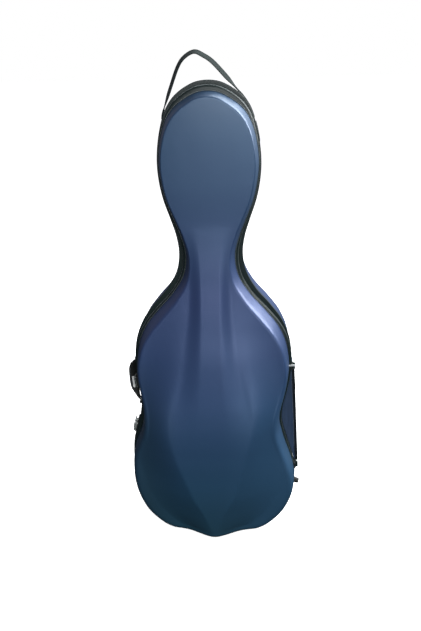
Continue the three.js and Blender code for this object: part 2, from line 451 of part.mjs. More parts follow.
// ---------------------------------------------------------------- carry handle
{
  const axis = HANDLE_HIGH.clone().sub(HANDLE_LOW).normalize(), mid = HANDLE_HIGH.clone().add(HANDLE_LOW).multiplyScalar(0.5);
  const half = HANDLE_HIGH.distanceTo(HANDLE_LOW) / 2;
  const out = V(-Math.cos(HANDLE_LEAN * RAD), Math.sin(HANDLE_LEAN * RAD), 0);
  out.addScaledVector(axis, -out.dot(axis)).normalize();
  const g = new THREE.Group();
  g.matrix.makeBasis(out.clone(), axis.clone().cross(out), axis.clone());
  g.matrix.setPosition(mid);
  g.matrix.decompose(g.position, g.quaternion, g.scale);
  root.add(g);
  // centre line in the (reach, along) plane, with half sizes along the reach and across it
  const path = [[0, -half + 5.4, 4.2, 5], [8, -half + 6.4, 4.4, 5.5], [18, -half + 11, 5, 7], [28, -half + 24, 6.6, 11], [36.6, -half + 42, 7.8, 14], [38.4, 0, 8, 14]];
  const high = [[34.9, half - 42, 7.8, 14], [25, half - 22, 6.6, 11], [15, half - 10.6, 5, 7], [7, half - 6.4, 4.4, 5.5], [0, half - 5.4, 4.2, 5]];
  const full = [...path, ...high];
  const rows = full.map(([r, a, p, q], i) => {
    const before = full[Math.max(0, i - 1)], after = full[Math.min(full.length - 1, i + 1)];
    const t = V(after[0] - before[0], 0, after[1] - before[1]).normalize(), across = V(t.z, 0, -t.x);
    return [0, 1, 2, 3, 4, 5, 6, 7].map((k) => {
      const w = (k * Math.PI) / 4 + Math.PI / 8;
      return V(r, 0, a).addScaledVector(across, p * Math.cos(w) * 1.06).add(V(0, q * Math.sin(w) * 1.06, 0));
    });
  });
  const trunnion = bar(V(0, 0, -half - 5.5), V(0, 0, half + 5.5), 2.6, 2.6, 8);
  const middle = box(-4, 4, -8, 8, -half + 4, half - 4);
  add('side_handle', join(loft(rows), cut(trunnion, middle)), rubber, g);
  // pale plate that follows the inner face of the grip
  const face = (r, a, p) => [r - 1.06 * p * Math.cos(Math.PI / 8) - 0.35, a];
  const bends = [face(25, -half + 24, 6.6), face(36.0, -28, 7.8), face(38.4, 0, 8), face(34.9, half - 42, 7.8)];
  const faceAt = (a) => { const i = a < -28 ? 0 : a < 0 ? 1 : 2, f = (a - bends[i][1]) / (bends[i + 1][1] - bends[i][1]); return bends[i][0] + f * (bends[i + 1][0] - bends[i][0]); };
  add('side_handle_plate', loft([-33, -28, 0, 4].map((a) => [[0, 2.6], [0, 10.4], [-1.2, 10.4], [-1.2, 2.6]].map(([x, y]) => V(faceAt(a) + x, y, a)))), steel, g);
  // brackets: blocks screwed to the back shell, bored for the handle's ends
  for (const [name, at, up] of [['side_handle_bracket_upper', HANDLE_HIGH, 1], ['side_handle_bracket_lower', HANDLE_LOW, -1]]) {
    const b = new THREE.Group();
    b.position.copy(at);
    b.quaternion.setFromUnitVectors(V(0, 0, 1), axis);
    root.add(b);
    const foot = at === HANDLE_HIGH ? 5.0 : 5.2;
    const block = join(box(-5.5, foot, -6, 6, up > 0 ? 0.6 : -8, up > 0 ? 8 : -0.6), box(foot - 2, foot, -11, 19, up > 0 ? 0.6 : -9.5, up > 0 ? 9.5 : -0.6));
    add(name, cut(block, bar(V(0, 0, up > 0 ? -1 : 1), V(0, 0, up * 6.4), 3.1, 3.1, 8)), rimBlack, b);
  }
}

// ---------------------------------------------------------------- head strap
const STRAP_Y = 30, STRAP_HALF = 12.5, STRAP_T = 1.5;
{
  // it rises clear of the rim on the left, leans over, and lies down on the shell's right shoulder
  const way = [[-124.6, 1264], [-120.6, 1282], [-111.7, 1307], [-96.7, 1347], [-77.5, 1394], [-60.1, 1417], [-34.3, 1430], [-10.8, 1421], [14.6, 1403.5], [51.8, 1364], [76.5, 1336.5], [91.9, 1320], [108.3, 1296.2], [118.6, 1273.0], [121.2, 1264]];
  const curve = new THREE.CatmullRomCurve3(way.map(([x, z]) => V(x, STRAP_Y, z)));
  const rows = [], steps = 22;
  for (let i = 0; i <= steps; i++) {
    const t = i / steps, p = curve.getPointAt(t), d = curve.getTangentAt(t), n = V(-d.z, 0, d.x).normalize();
    const end = Math.min(i, steps - i), wide = end === 0 ? 7 : STRAP_HALF;
    // the band turns its face forward over the top, and lies flat on the shell at its right end
    const turn = smooth((t - 0.03) / 0.14) * smooth((0.8 - t) / 0.1) * 22 * RAD;
    const w = V(0, Math.cos(turn), 0).addScaledVector(n, Math.sin(turn)), m = n.clone().multiplyScalar(Math.cos(turn)).add(V(0, -Math.sin(turn), 0));
    rows.push([[-1, -1], [1, -1], [1, 1], [-1, 1]].map(([a, b]) => p.clone().addScaledVector(w, a * wide).addScaledVector(m, b * STRAP_T)));
  }
  add('head_strap', loft(rows), webbing);
}
for (const [name, side] of [['left', -1], ['right', 1]])
  add('head_strap_anchor_' + name, bandBlock(1255, 1203, side, -0.9, 2.2, STRAP_Y - 13.5, STRAP_Y + 13.5, 4), webbing);

// ---------------------------------------------------------------- side pocket in the right waist
const POCKET = { top: 540, low: 209, y0: 17, y1: 98, xTop: 238.83, xLow: 255.83, skin: 2.4 };
{
  const outerX = (z) => POCKET.xTop + ((POCKET.xLow - POCKET.xTop) * (POCKET.top - z)) / (POCKET.top - POCKET.low);
  const wallX = (z) => { const s = station(chordAtZ(z)); return s.x - s.nx * (BACK_IN - 2.2); };
  const bag = (inset, y0, y1) => {
    const inner = [], a = POCKET.low + inset * 3.2, b = POCKET.top - inset * 3.2, steps = 9;
    for (let i = 0; i <= steps; i++) { const z = a + ((b - a) * i) / steps; inner.push([wallX(z) + inset, z]); }
    const ring = [[outerX(b) - inset, b], [outerX(a) - inset, a], ...inner];
    return loft([y0, y1].map((y) => ring.map(([x, z]) => V(x, y, z))));
  };
  const slope = Math.atan2(POCKET.xLow - POCKET.xTop, POCKET.top - POCKET.low);
  const slit = (x0, x1, y0, y1, z0, z1) => { const g = box(x0, x1, y0, y1, z0, z1); g.rotateY(-slope); const zm = (POCKET.top + POCKET.low) / 2; g.translate(outerX(zm), 0, zm); return g; };
  const solid = cut(bag(0, POCKET.y0, POCKET.y1), bag(POCKET.skin, POCKET.y0 + POCKET.skin, POCKET.y1 - POCKET.skin), slit(-6, 4, 50, 58, -118, 118));
  add('side_pocket', solid, fabricBlue);
  add('pocket_binding_front', slit(0.35, 3.2, POCKET.y0 - 1.2, POCKET.y0 + 5.4, -164, 164), webbing);
  add('pocket_zip', slit(0.35, 1.6, 47, 61, -124, 124), rubber);
  add('pocket_slider', join(slit(1.95, 4.4, 49.5, 58.5, 100, 112), slit(4.2, 5.6, 52, 56, 72, 106)), steel);
}

// ---------------------------------------------------------------- rubber feet
add('side_foot_lower', bar(V(0, 27, -2.2), V(0, 27, 21.1), 10.8, 8.2, 12), rubber, onSide(143, 1, 0));
const lidSolid = toSolid(shellBody('lid', -0.4, SHELL, [LID_EDGE, RIM_DEPTH + 0.5], WALLS, [0.38, 0.74, 1]));
const backSolid = toSolid(shellBody('back', -0.4, SHELL, [BACK_EDGE, RIM_DEPTH + 0.5], WALLS, [0.5, 1]));
for (const [name, x, y, r, wall] of [['front_left', -85, -26.5, 9, lidSolid], ['front_right', 85, -26.5, 9, lidSolid], ['rear_left', -85, 62, 13, backSolid], ['rear_right', 85, 62, 13, backSolid]]) {
  const raw = toSolid(bar(V(x, y, 0), V(x, y, 14), r, r + 1.5, 14)).subtract(wall);
  const pieces = raw.decompose().sort((a, b) => b.volume() - a.volume());
  const low = pieces.find((p) => p.boundingBox().min[2] < 0.01);
  add('base_foot_' + name, fromSolid(low), rubber);
}

// ---------------------------------------------------------------- rings on the back for shoulder straps
function backRing(name, x, z) {
  const y = backDepth(x, z), tilt = Math.atan2(backDepth(x, z + 20) - backDepth(x, z - 20), 40), g = new THREE.Group();
  g.position.set(x, y + 0.7, z);
  g.rotation.x = -tilt;
  root.add(g);
  // tab: a plate with a loop that holds the ring's straight side
  const plate = join(box(-17, 17, 0, 1.6, -4, 26), box(-12, 12, 0, 8.6, -4.3, 4.3), bar(V(0, 1.4, 19), V(0, 3, 19), 4, 3, 8));
  add('back_ring_tab_' + name, cut(plate, bar(V(-20, 4.5, 0), V(20, 4.5, 0), 3.3, 3.3, 12)), rimBlack, g);
  // D ring: straight bar in the loop, hanging bow below
  const r = 2.2, w = 16.5, way = [V(-w, 4.5, 0), V(-w, 4.5, -9), V(-w * 0.72, 4.5, -22), V(0, 4.5, -28), V(w * 0.72, 4.5, -22), V(w, 4.5, -9), V(w, 4.5, 0)];
  const rows = [...way].map((p, i, all) => {
    const a = all[(i + all.length - 1) % all.length], b = all[(i + 1) % all.length];
    const t = b.clone().sub(a).normalize(), side = V(t.z, 0, -t.x);
    const bend = i === 0 || i === all.length - 1 ? 1.3 : 1.05;
    return [0, 1, 2, 3, 4, 5].map((k) => p.clone().addScaledVector(side, r * bend * Math.cos((k * Math.PI) / 3)).add(V(0, r * Math.sin((k * Math.PI) / 3), 0)));
  });
  add('back_ring_' + name, closed(rows.flat(), rowsToFaces(rows, true)), steel, g);
}
backRing('upper', 0, 1010);
backRing('lower_left', -112, 170);
backRing('lower_right', 112, 170);

// ---------------------------------------------------------------- interior
// end pad under the instrument's lower end, hollowed for it
{
  const side = [[10, 24.5], [44, 26], [74, 31], [92, 37.5], [92, 58], [10, 58]];
  const pad = loft([-90, 90].map((x) => side.map(([y, z]) => V(x, y, z))));
  add('end_pad', cut(pad, box(-62, 62, 6, 98, 46, 60), box(-14, 14, 20, 80, 34, 60)), plushGrey);
}
for (const [name, side] of [['left', -1], ['right', 1]])
  add('upper_bout_pad_' + name, bandBlock(738, 655, side, 27, 52, 14, 75, 4), plushGrey);
// cradle for the neck, open in front
add('neck_cradle', cut(box(-50, 50, 6, 56, 905, 985), box(-24, 24, 4, 36, 900, 990)), plushGrey);
add('neck_strap', join(box(-46, 44, -1.5, 1.5, 928, 962), box(-46, -40, -1.5, 5, 928, 962)), webbing);
add('scroll_pad', box(-44, 44, 34, 52, 1150, 1250), plushGrey);

// bow clips and tip sleeves inside the lid
const lidLiningSolid = toSolid(shellBody('lid', SHELL + FOAM_GAP, SHELL + FOAM_GAP + FOAM + 0.35, [LID_EDGE], WALLS, [0.38, 0.74, 1]));
for (const [name, side] of [['left', -1], ['right', 1]]) {
  const x = 168 * side, z = 262, g = new THREE.Group();
  const y = -(Math.min(...[-14, 0, 14].flatMap((a) => [-14, 0, 14].map((b) => lidDepth(x + a, z + b)))) - SHELL - FOAM_GAP - FOAM) + 0.8;
  g.position.set(x, y, z);
  root.add(g);
  const raw = toSolid(join(bar(V(x, y - 14, z), V(x, y + 7, z), 15, 15, 12), bar(V(x, y + 6.5, z), V(x, y + 10, z), 4, 4, 8))).subtract(lidLiningSolid);
  const base = raw.decompose().sort((a, b) => b.boundingBox().max[1] - a.boundingBox().max[1])[0];
  add('bow_clip_base_' + name, fromSolid(base), plushGrey);
  add('bow_clip_turn_' + name, cut(join(box(-7, 7, 7.6, 13, -26, 26), bar(V(0, 7.6, 0), V(0, 14.5, 0), 8, 7, 10)), bar(V(0, 7, 0), V(0, 10.6, 0), 4.5, 4.5, 8)), rimBlack, g);
  const sx = 21.5 * side;
  add('bow_tip_sleeve_' + name, cut(box(sx - 13, sx + 13, -43, -28, 885, 955), box(sx - 10.5, sx + 10.5, -40.5, -30.5, 870, 952)), plushGrey);
}

root.position.set(CASE_X, CASE_Y, 0);

export default root;
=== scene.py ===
import json
import math

import bmesh
import bpy
import numpy as np
from mathutils import Matrix, Vector
from mathutils.bvhtree import BVHTree


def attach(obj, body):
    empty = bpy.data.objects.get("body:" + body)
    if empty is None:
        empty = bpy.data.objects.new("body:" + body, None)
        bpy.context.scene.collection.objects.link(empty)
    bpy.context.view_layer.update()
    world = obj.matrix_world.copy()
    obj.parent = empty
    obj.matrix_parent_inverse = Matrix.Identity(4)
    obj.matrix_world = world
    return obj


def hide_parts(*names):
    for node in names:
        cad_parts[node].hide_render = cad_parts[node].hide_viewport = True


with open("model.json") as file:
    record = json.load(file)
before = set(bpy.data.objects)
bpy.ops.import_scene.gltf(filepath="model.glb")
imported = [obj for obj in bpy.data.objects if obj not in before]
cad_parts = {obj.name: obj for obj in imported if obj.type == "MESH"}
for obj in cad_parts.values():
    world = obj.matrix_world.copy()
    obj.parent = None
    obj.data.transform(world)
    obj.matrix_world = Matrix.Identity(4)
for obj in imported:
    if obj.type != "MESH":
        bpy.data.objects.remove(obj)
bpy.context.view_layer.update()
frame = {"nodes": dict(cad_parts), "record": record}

NODES = frame["nodes"]
SHIFT = np.array([0.6, -0.07, 0.0])   # mm, the case's middle plane in the row frame
pi = math.pi
RAD = pi / 180


# ================================================================ camera
def make_camera():
    yaw, pitch, roll = 3.76 * RAD, 21.14 * RAD, -1.31 * RAD
    fwd = Vector((-math.sin(yaw) * math.cos(pitch), math.cos(yaw) * math.cos(pitch), -math.sin(pitch)))
    right = Vector((math.cos(yaw), math.sin(yaw), 0))
    up = right.cross(fwd)
    r2 = math.cos(roll) * right + math.sin(roll) * up
    u2 = -math.sin(roll) * right + math.cos(roll) * up
    data = bpy.data.cameras.new("camera")
    cam = bpy.data.objects.new("camera", data)
    bpy.context.scene.collection.objects.link(cam)
    data.sensor_fit = "AUTO"
    data.sensor_width = 36.0
    data.lens = 705.0 / 631.0 * 36.0
    data.clip_start, data.clip_end = 0.05, 50
    m = Matrix.Identity(4)
    for i, v in enumerate((r2, u2, -fwd)):
        m[0][i], m[1][i], m[2][i] = v
    m.translation = Vector((0.1206, -1.90007, 1.450))
    cam.matrix_world = m
    bpy.context.scene.camera = cam
    return cam


make_camera()


# ================================================================ case geometry
RIM_DEPTH = 14.0
SHELL = 4.0
FOAM = 8.0
FOAM_GAP = 0.5
LID_EDGE, BACK_EDGE = 3.6, 4.2
BACK_IN, BACK_WALL, BACK_LEAN, BACK_TIGHT = 2.8, 34.0, 0.0, 3.0
SPINE_TOP, SPINE_BOTTOM = 1215.0, 150.0
# x, z of the half outline, black band in front, width of the lid's wall, lean of the wall, tightness of its corner, seam inset
BANDS = [
    [0, 1362, 26, 16, 0.66, 2.6, 12], [35, 1357, 26, 16, 0.66, 2.6, 12], [55, 1348, 25, 16, 0.66, 2.6, 11.5],
    [74, 1336, 24, 17, 0.66, 2.6, 11], [92, 1320, 21, 18, 0.66, 2.6, 9.5], [109, 1296, 16, 18, 0.66, 2.6, 7.2],
    [119.5, 1273, 12, 17, 0.64, 2.6, 5.8], [126.5, 1250, 9.5, 15, 0.62, 2.6, 5], [136.6, 1200, 7.2, 13, 0.6, 2.5, 4.2],
    [140.4, 1150, 7, 12.5, 0.6, 2.5, 3.9], [136.9, 1100, 8.2, 12.5, 0.6, 2.4, 4.2], [126.8, 1050, 9.5, 13, 0.6, 2.2, 5],
    [110.4, 1000, 12, 14, 0.6, 2, 7], [95.5, 950, 16, 15, 0.6, 1.8, 10], [89.7, 900, 22, 16, 0.6, 1.7, 13],
    [97.8, 850, 23, 19, 0.6, 1.8, 15], [124.3, 800, 20, 22, 0.6, 2, 14.5], [166, 750, 18.5, 25, 0.62, 2.3, 12.5],
    [201.8, 700, 16, 24, 0.62, 2.4, 9], [222.4, 650, 13, 20, 0.55, 2.2, 4.5], [230.9, 600, 10, 18, 0.45, 2, 1.5],
    [231.8, 555, 8, 18, 0.35, 1.8, 1.5], [229, 520, 8, 20, 0.3, 1.6, 1.5], [223, 480, 8.5, 23, 0.25, 1.4, 1.5],
    [217.5, 445, 10, 25, 0.2, 1.3, 1.5], [215.6, 412, 11, 26, 0.2, 1.3, 1.5], [218, 378, 11.5, 26, 0.18, 1.3, 1.5],
    [227, 343, 10.5, 25, 0.16, 1.3, 1.5], [237, 308, 8.5, 24, 0.14, 1.3, 1.5], [245, 270, 5.5, 24, 0.12, 1.3, 1.5],
    [250, 231, 3.8, 24, 0.1, 1.3, 1.5], [251, 195, 3, 25, 0.08, 1.3, 1.5], [247, 160, 3, 26, 0.06, 1.3, 1.5],
    [235, 120, 3, 28, 0.04, 1.3, 1.5], [215.5, 81, 3, 30, 0.02, 1.35, 1.5], [188, 48, 3, 31, 0, 1.4, 1.5],
    [158, 23, 3, 31, 0, 1.5, 1.5], [131, 10.5, 3, 31, 0, 1.55, 1.5], [105, 6.4, 3, 31, 0, 1.55, 1.5],
    [60, 6, 3, 31, 0, 1.5, 1.5], [0, 6, 3, 32, 0, 1.35, 1.5],
]
# how far the middle of the outline lies to one side: z, x
SWAY = [[0, 0], [120, 0], [160, -0.5], [195, -2], [231, -5], [270, -10], [308, -13.8], [343, -14], [378, -12.5], [412, -8.5], [445, -4.5], [480, -1.5], [520, -0.5], [560, 0], [1362, 0]]
LID_BASE = [[0, 74], [60, 77], [150, 83], [300, 84], [420, 84], [500, 82], [600, 77], [700, 69], [800, 61], [900, 56], [1000, 53.5], [1100, 53], [1250, 52], [1362, 51]]
# raised middles: z, height, half width of the top, half width of the foot, crispness of the top edge and of the foot
RIDGE = [[0, 0, 44, 150, 0, 0], [300, 0, 44, 150, 0, 0], [350, 1, 43, 142, 0, 0], [400, 3, 40, 130, 0, 0], [450, 5.5, 37, 116, 0.1, 0], [500, 8, 34, 102, 0.2, 0], [550, 10, 31, 92, 0.25, 0], [600, 11.5, 29, 84, 0.3, 0], [650, 12.5, 28, 76, 0.35, 0], [700, 13, 27, 69, 0.4, 0], [750, 13, 26, 63, 0.4, 0], [800, 12, 26, 60, 0.4, 0], [850, 9.5, 26, 60, 0.35, 0], [900, 6, 28, 63, 0.3, 0], [950, 2.5, 32, 70, 0.1, 0], [1000, 0, 38, 78, 0, 0], [1362, 0, 44, 90, 0, 0]]
DOME = [[0, 42, 1, 70, 0.6, 0.2], [20, 45, 2, 84, 0.6, 0.2], [50, 48.5, 8, 116, 0.7, 0.25], [78, 50, 17, 142, 0.85, 0.3], [119, 51, 32, 172, 0.95, 0.3], [169, 52.5, 57, 196, 1, 0.3], [200, 53, 68, 204, 1, 0.3], [240, 53.2, 81, 210, 0.95, 0.3], [285, 53.55, 93, 215, 0.85, 0.3], [320, 52.6, 102, 217, 0.75, 0.3], [355, 51, 111, 217, 0.6, 0.3], [400, 46.5, 120, 217, 0.4, 0.3], [450, 39, 120, 216, 0.2, 0.3], [500, 31, 108, 213, 0.1, 0.2], [550, 24, 90, 206, 0, 0.1], [600, 18, 76, 196, 0, 0], [700, 7, 56, 168, 0, 0], [800, 1, 50, 130, 0, 0], [850, 0, 50, 120, 0, 0], [1362, 0, 50, 120, 0, 0]]
# gentle crown across the whole front: z, height, half width
CROWN = [[0, 0, 150], [100, 1, 200], [300, 2, 215], [550, 3, 215], [700, 3, 190], [800, 2.4, 120], [900, 2.2, 80], [1000, 3, 100], [1100, 4, 128], [1200, 4.2, 130], [1280, 3.5, 118], [1330, 2.5, 90], [1362, 1.8, 70]]
BACK_BASE = [[0, 121.5], [60, 127.5], [150, 131.3], [300, 132], [500, 130.8], [600, 125.5], [700, 114.5], [800, 100], [900, 86.5], [1000, 77], [1100, 71.5], [1250, 68.5], [1362, 66]]

HINGE_HIGH, HINGE_LOW = np.array([238.2, 0, 560.0]), np.array([253.45, 0, 228.0])
LATCH_Z = {"upper": 503, "waist": 348, "lower": 140}
HINGE_Z = {"hinge_upper": 556.0, "hinge_lower": 219.0}
LEAF = 10.0
LATCH_LIFT = {"upper": 1.6, "waist": 2.4, "lower": 1.6}
HANDLE_HIGH, HANDLE_LOW = np.array([-234.5, 34, 558.0]), np.array([-228.3, 34, 418.0])
HANDLE_LEAN = 55 * RAD
STRAP_Y = 30.0
POCKET = dict(top=540.0, low=209.0, y0=17.0, y1=98.0, xTop=238.83, xLow=255.83)


def smooth(t):
    t = np.clip(t, 0, 1)
    return t * t * (3 - 2 * t)


def row_at(table, key):
    """Cubic through the rows of a table, by its first column; key may be an array."""
    t = np.array(table, float)
    k = np.asarray(key, float)
    ks, vs = t[:, 0], t[:, 1:]
    slope = np.empty_like(vs)
    slope[0] = (vs[1] - vs[0]) / (ks[1] - ks[0])
    slope[-1] = (vs[-1] - vs[-2]) / (ks[-1] - ks[-2])
    slope[1:-1] = (vs[2:] - vs[:-2]) / (ks[2:] - ks[:-2])[:, None]
    kc = np.clip(k, ks[0], ks[-1])
    i = np.clip(np.searchsorted(ks, kc, side="left") - 1, 0, len(ks) - 2)
    h = ks[i + 1] - ks[i]
    s = (kc - ks[i]) / h
    s2, s3 = s * s, s * s * s
    ex = lambda a: a[..., None]
    return (vs[i] * ex(2 * s3 - 3 * s2 + 1) + slope[i] * ex(h * (s3 - 2 * s2 + s))
            + vs[i + 1] * ex(-2 * s3 + 3 * s2) + slope[i + 1] * ex(h * (s3 - s2)))


_B = np.array(BANDS, float)
_chord = np.concatenate([[0], np.cumsum(np.hypot(np.diff(_B[:, 0]), np.diff(_B[:, 1])))])
HALF = _chord[-1]


def _row(i):
    last = len(_B) - 1
    if i < 0:
        r = _B[-i]
        return -_chord[-i], np.concatenate([[-r[0]], r[1:]])
    if i > last:
        j = 2 * last - i
        r = _B[j]
        return 2 * HALF - _chord[j], np.concatenate([[-r[0]], r[1:]])
    return _chord[i], _B[i]


def outline_at(u):
    """Arrays x, z, nx, nz, band, wall, shape, seam of the right half at chord lengths u."""
    u = np.atleast_1d(np.asarray(u, float))
    out = np.empty((len(u), 7))
    der = np.empty((len(u), 7))
    seg = np.clip(np.searchsorted(_chord, u, side="left") - 1, 0, len(_B) - 2)
    for i in np.unique(seg):
        sel = seg == i
        (u0, p0), (u1, p1), (u2, p2), (u3, p3) = _row(i - 1), _row(i), _row(i + 1), _row(i + 2)
        tan = lambda ua, a, ub, b, uc, c: ((uc - ub) / (uc - ua)) * (b - a) / (ub - ua) + ((ub - ua) / (uc - ua)) * (c - b) / (uc - ub)
        h = u2 - u1
        t = ((u[sel] - u1) / h)[:, None]
        m0, m1 = tan(u0, p0, u1, p1, u2, p2) * h, tan(u1, p1, u2, p2, u3, p3) * h
        t2, t3 = t * t, t * t * t
        out[sel] = p1 * (2 * t3 - 3 * t2 + 1) + m0 * (t3 - 2 * t2 + t) + p2 * (-2 * t3 + 3 * t2) + m1 * (t3 - t2)
        der[sel] = (p1 * (6 * t2 - 6 * t) + m0 * (3 * t2 - 4 * t + 1) + p2 * (-6 * t2 + 6 * t) + m1 * (3 * t2 - 2 * t)) / h
    ln = np.hypot(der[:, 0], der[:, 1])
    return dict(x=out[:, 0], z=out[:, 1], nx=-der[:, 1] / ln, nz=der[:, 0] / ln,
                band=out[:, 2], wall=out[:, 3], lean=np.clip(out[:, 4], 0, 0.9), tight=out[:, 5], seam=np.maximum(1.5, out[:, 6]))


def sway_at(z):
    return row_at(SWAY, z)[..., 0]


def settle(s, side=1):
    """Moves stations of the right or left half on to the swayed middle; the band is narrower on the right of the waist."""
    lean = np.exp(-((s["z"] - 368) / 66) ** 2)
    s = {k: np.array(v, float) for k, v in s.items()}
    even = s["band"]
    s["band"] = np.maximum(3, s["band"] - 4.5 * lean if side > 0 else s["band"] + 2.5 * lean)
    s["even"] = even
    s["x"] = side * s["x"] + sway_at(s["z"])
    s["nx"] = side * s["nx"]
    return s


def chord_at_z(z):
    a, b = 0.0, HALF
    for _ in range(60):
        m = (a + b) / 2
        if outline_at(m)["z"][0] > z:
            a = m
        else:
            b = m
    return (a + b) / 2


def spread(count, bend=2.6):
    fine = 1600
    s = outline_at(np.linspace(0, HALF, fine + 1))
    turn = np.arccos(np.clip(s["nx"][1:] * s["nx"][:-1] + s["nz"][1:] * s["nz"][:-1], -1, 1))
    w = np.concatenate([[0], np.cumsum(HALF / fine / 60 + turn * bend)])
    us = np.interp(np.linspace(0, w[-1], count + 1), w, np.linspace(0, HALF, fine + 1))
    us[0], us[-1] = 0, HALF
    return us


def stations(columns, bend=1.4):
    us = spread(columns // 2, bend)
    right = settle(outline_at(us))
    left = {k: v[1:-1][::-1].copy() for k, v in settle(outline_at(us), -1).items()}
    s = {k: np.concatenate([right[k], left[k]]) for k in right}
    for k in (0, columns // 2):
        s["x"][k] = s["nx"][k] = 0
        s["nz"][k] = np.sign(s["nz"][k])
    return s


def raised(table, x, z):
    """Height of a raised middle that falls from its top edge to its foot."""
    h, a, b, m0, m1 = np.moveaxis(row_at(table, z), -1, 0)
    t = np.clip((x - a) / (b - a), 0, 1)
    t2, t3 = t * t, t * t * t
    return h * (2 * t3 - 3 * t2 + 1 - m0 * (t3 - 2 * t2 + t) - m1 * (t3 - t2))


def lid_depth(x, z):
    base = row_at(LID_BASE, z)[..., 0]
    c, ax = row_at(CROWN, z), np.abs(x - sway_at(z) * np.minimum(1, np.abs(x) / 200))
    return base + raised(RIDGE, ax, z) + raised(DOME, ax, z) + c[..., 0] * np.maximum(0, 1 - (ax / c[..., 1]) ** 2)


def back_depth(x, z):
    return row_at(BACK_BASE, z)[..., 0] - 5 * np.minimum(1, (np.asarray(x) / 210) ** 2)


def skin(side, s, off, part, v):
    """v is a depth for an edge, and 0 to 1 for the wall (foot to front corner) and the panel (corner to spine)."""
    lid = side == "lid"
    inset = (s["band"] if lid else BACK_IN) + off
    w, lean, tight = (s["wall"], s["lean"], s["tight"]) if lid else (BACK_WALL, BACK_LEAN, BACK_TIGHT)
    depth, sign = (lid_depth, -1) if lid else (back_depth, 1)
    xi, zi = s["x"] - s["nx"] * (inset + w), s["z"] - s["nz"] * (inset + w)
    if part == "panel":
        zs = np.clip(s["z"] - s["nz"] * ((s["even"] if lid else BACK_IN) + off + w), SPINE_BOTTOM, SPINE_TOP)
        x, z = xi * (1 - v), zi + (zs - zi) * v
        return np.stack([x, sign * (depth(x, z) - off), z], 1)
    if part == "edge":
        return np.stack([s["x"] - s["nx"] * inset, np.full_like(s["x"], sign * v), s["z"] - s["nz"] * inset], 1)
    foot = RIM_DEPTH + 0.5
    k = 2 * tight * v * (1 - v)
    den = (1 - v) ** 2 + k + v * v
    a, g = (k * lean + v * v) / den, (k + v * v) / den * np.ones_like(s["x"])
    at, full = inset + w * a, depth(xi, zi) - off
    return np.stack([s["x"] - s["nx"] * at, sign * (foot + (full - foot) * g), s["z"] - s["nz"] * at], 1)


# ================================================================ mesh helpers
def link(obj):
    bpy.context.scene.collection.objects.link(obj)
    return obj


def raw_mesh(name, verts_m, faces, mat=None, sharp=35, smooth_faces=True):
    me = bpy.data.meshes.new(name)
    me.from_pydata([tuple(map(float, v)) for v in verts_m], [], [tuple(map(int, f)) for f in faces])
    me.validate(verbose=False)
    bm = bmesh.new()
    bm.from_mesh(me)
    bmesh.ops.recalc_face_normals(bm, faces=bm.faces)
    bm.to_mesh(me)
    bm.free()
    if smooth_faces:
        me.shade_smooth()
        if sharp:
            me.set_sharp_from_angle(angle=sharp * RAD)
    ob = link(bpy.data.objects.new(name, me))
    if mat:
        me.materials.append(mat)
    return ob


def mesh_mm(name, verts, faces, mat=None, sharp=35, shift=True):
    v = np.asarray(verts, float) + (SHIFT if shift else 0)
    return raw_mesh(name, v * 0.001, faces, mat, sharp)


def merge(verts, faces, tol=1e-3):
    """Joins vertices at the same place and drops faces that collapse."""
    v = np.asarray(verts, float)
    key = np.round(v / tol).astype(np.int64)
    _, first, inv = np.unique(key, axis=0, return_index=True, return_inverse=True)
    inv = inv.ravel()
    out = []
    for f in faces:
        g = []
        for i in f:
            j = int(inv[i])
            if not g or g[-1] != j:
                g.append(j)
        if len(g) > 1 and g[0] == g[-1]:
            g.pop()
        if len(set(g)) == len(g) and len(g) >= 3:
            out.append(g)
    return v[first], out


def grid_faces(rows, cols, wrap_cols=True, wrap_rows=False, offset=0, flip=False):
    f = []
    for r in range(rows if wrap_rows else rows - 1):
        for k in range(cols if wrap_cols else cols - 1):
            a, b = r * cols + k, r * cols + (k + 1) % cols
            c, d = ((r + 1) % rows) * cols + (k + 1) % cols, ((r + 1) % rows) * cols + k
            q = [a, b, c, d]
            f.append([i + offset for i in (q[::-1] if flip else q)])
    return f


def shell_mesh(side, outer, inner, s, edge, walls, panels):
    def layer(off):
        rows = [skin(side, s, off, "edge", d) for d in edge]
        rows += [skin(side, s, off, "wall", t) for t in walls]
        rows += [skin(side, s, off, "panel", t) for t in panels]
        return rows
    a, b, n = layer(outer), layer(inner), len(s["x"])
    verts = np.concatenate(a + b)
    faces = grid_faces(len(a), n) + grid_faces(len(b), n, offset=len(a) * n, flip=True)
    for k in range(n):
        k1 = (k + 1) % n
        faces.append([k, len(a) * n + k, len(a) * n + k1, k1])
    return merge(verts, faces)


def rim_mesh(profile, s):
    """profile(s) gives a list of (inset array, y array)."""
    rows = [np.stack([s["x"] - s["nx"] * i, np.broadcast_to(y, s["x"].shape), s["z"] - s["nz"] * i], 1) for i, y in profile(s)]
    return np.concatenate(rows), grid_faces(len(rows), len(s["x"]), wrap_rows=True)


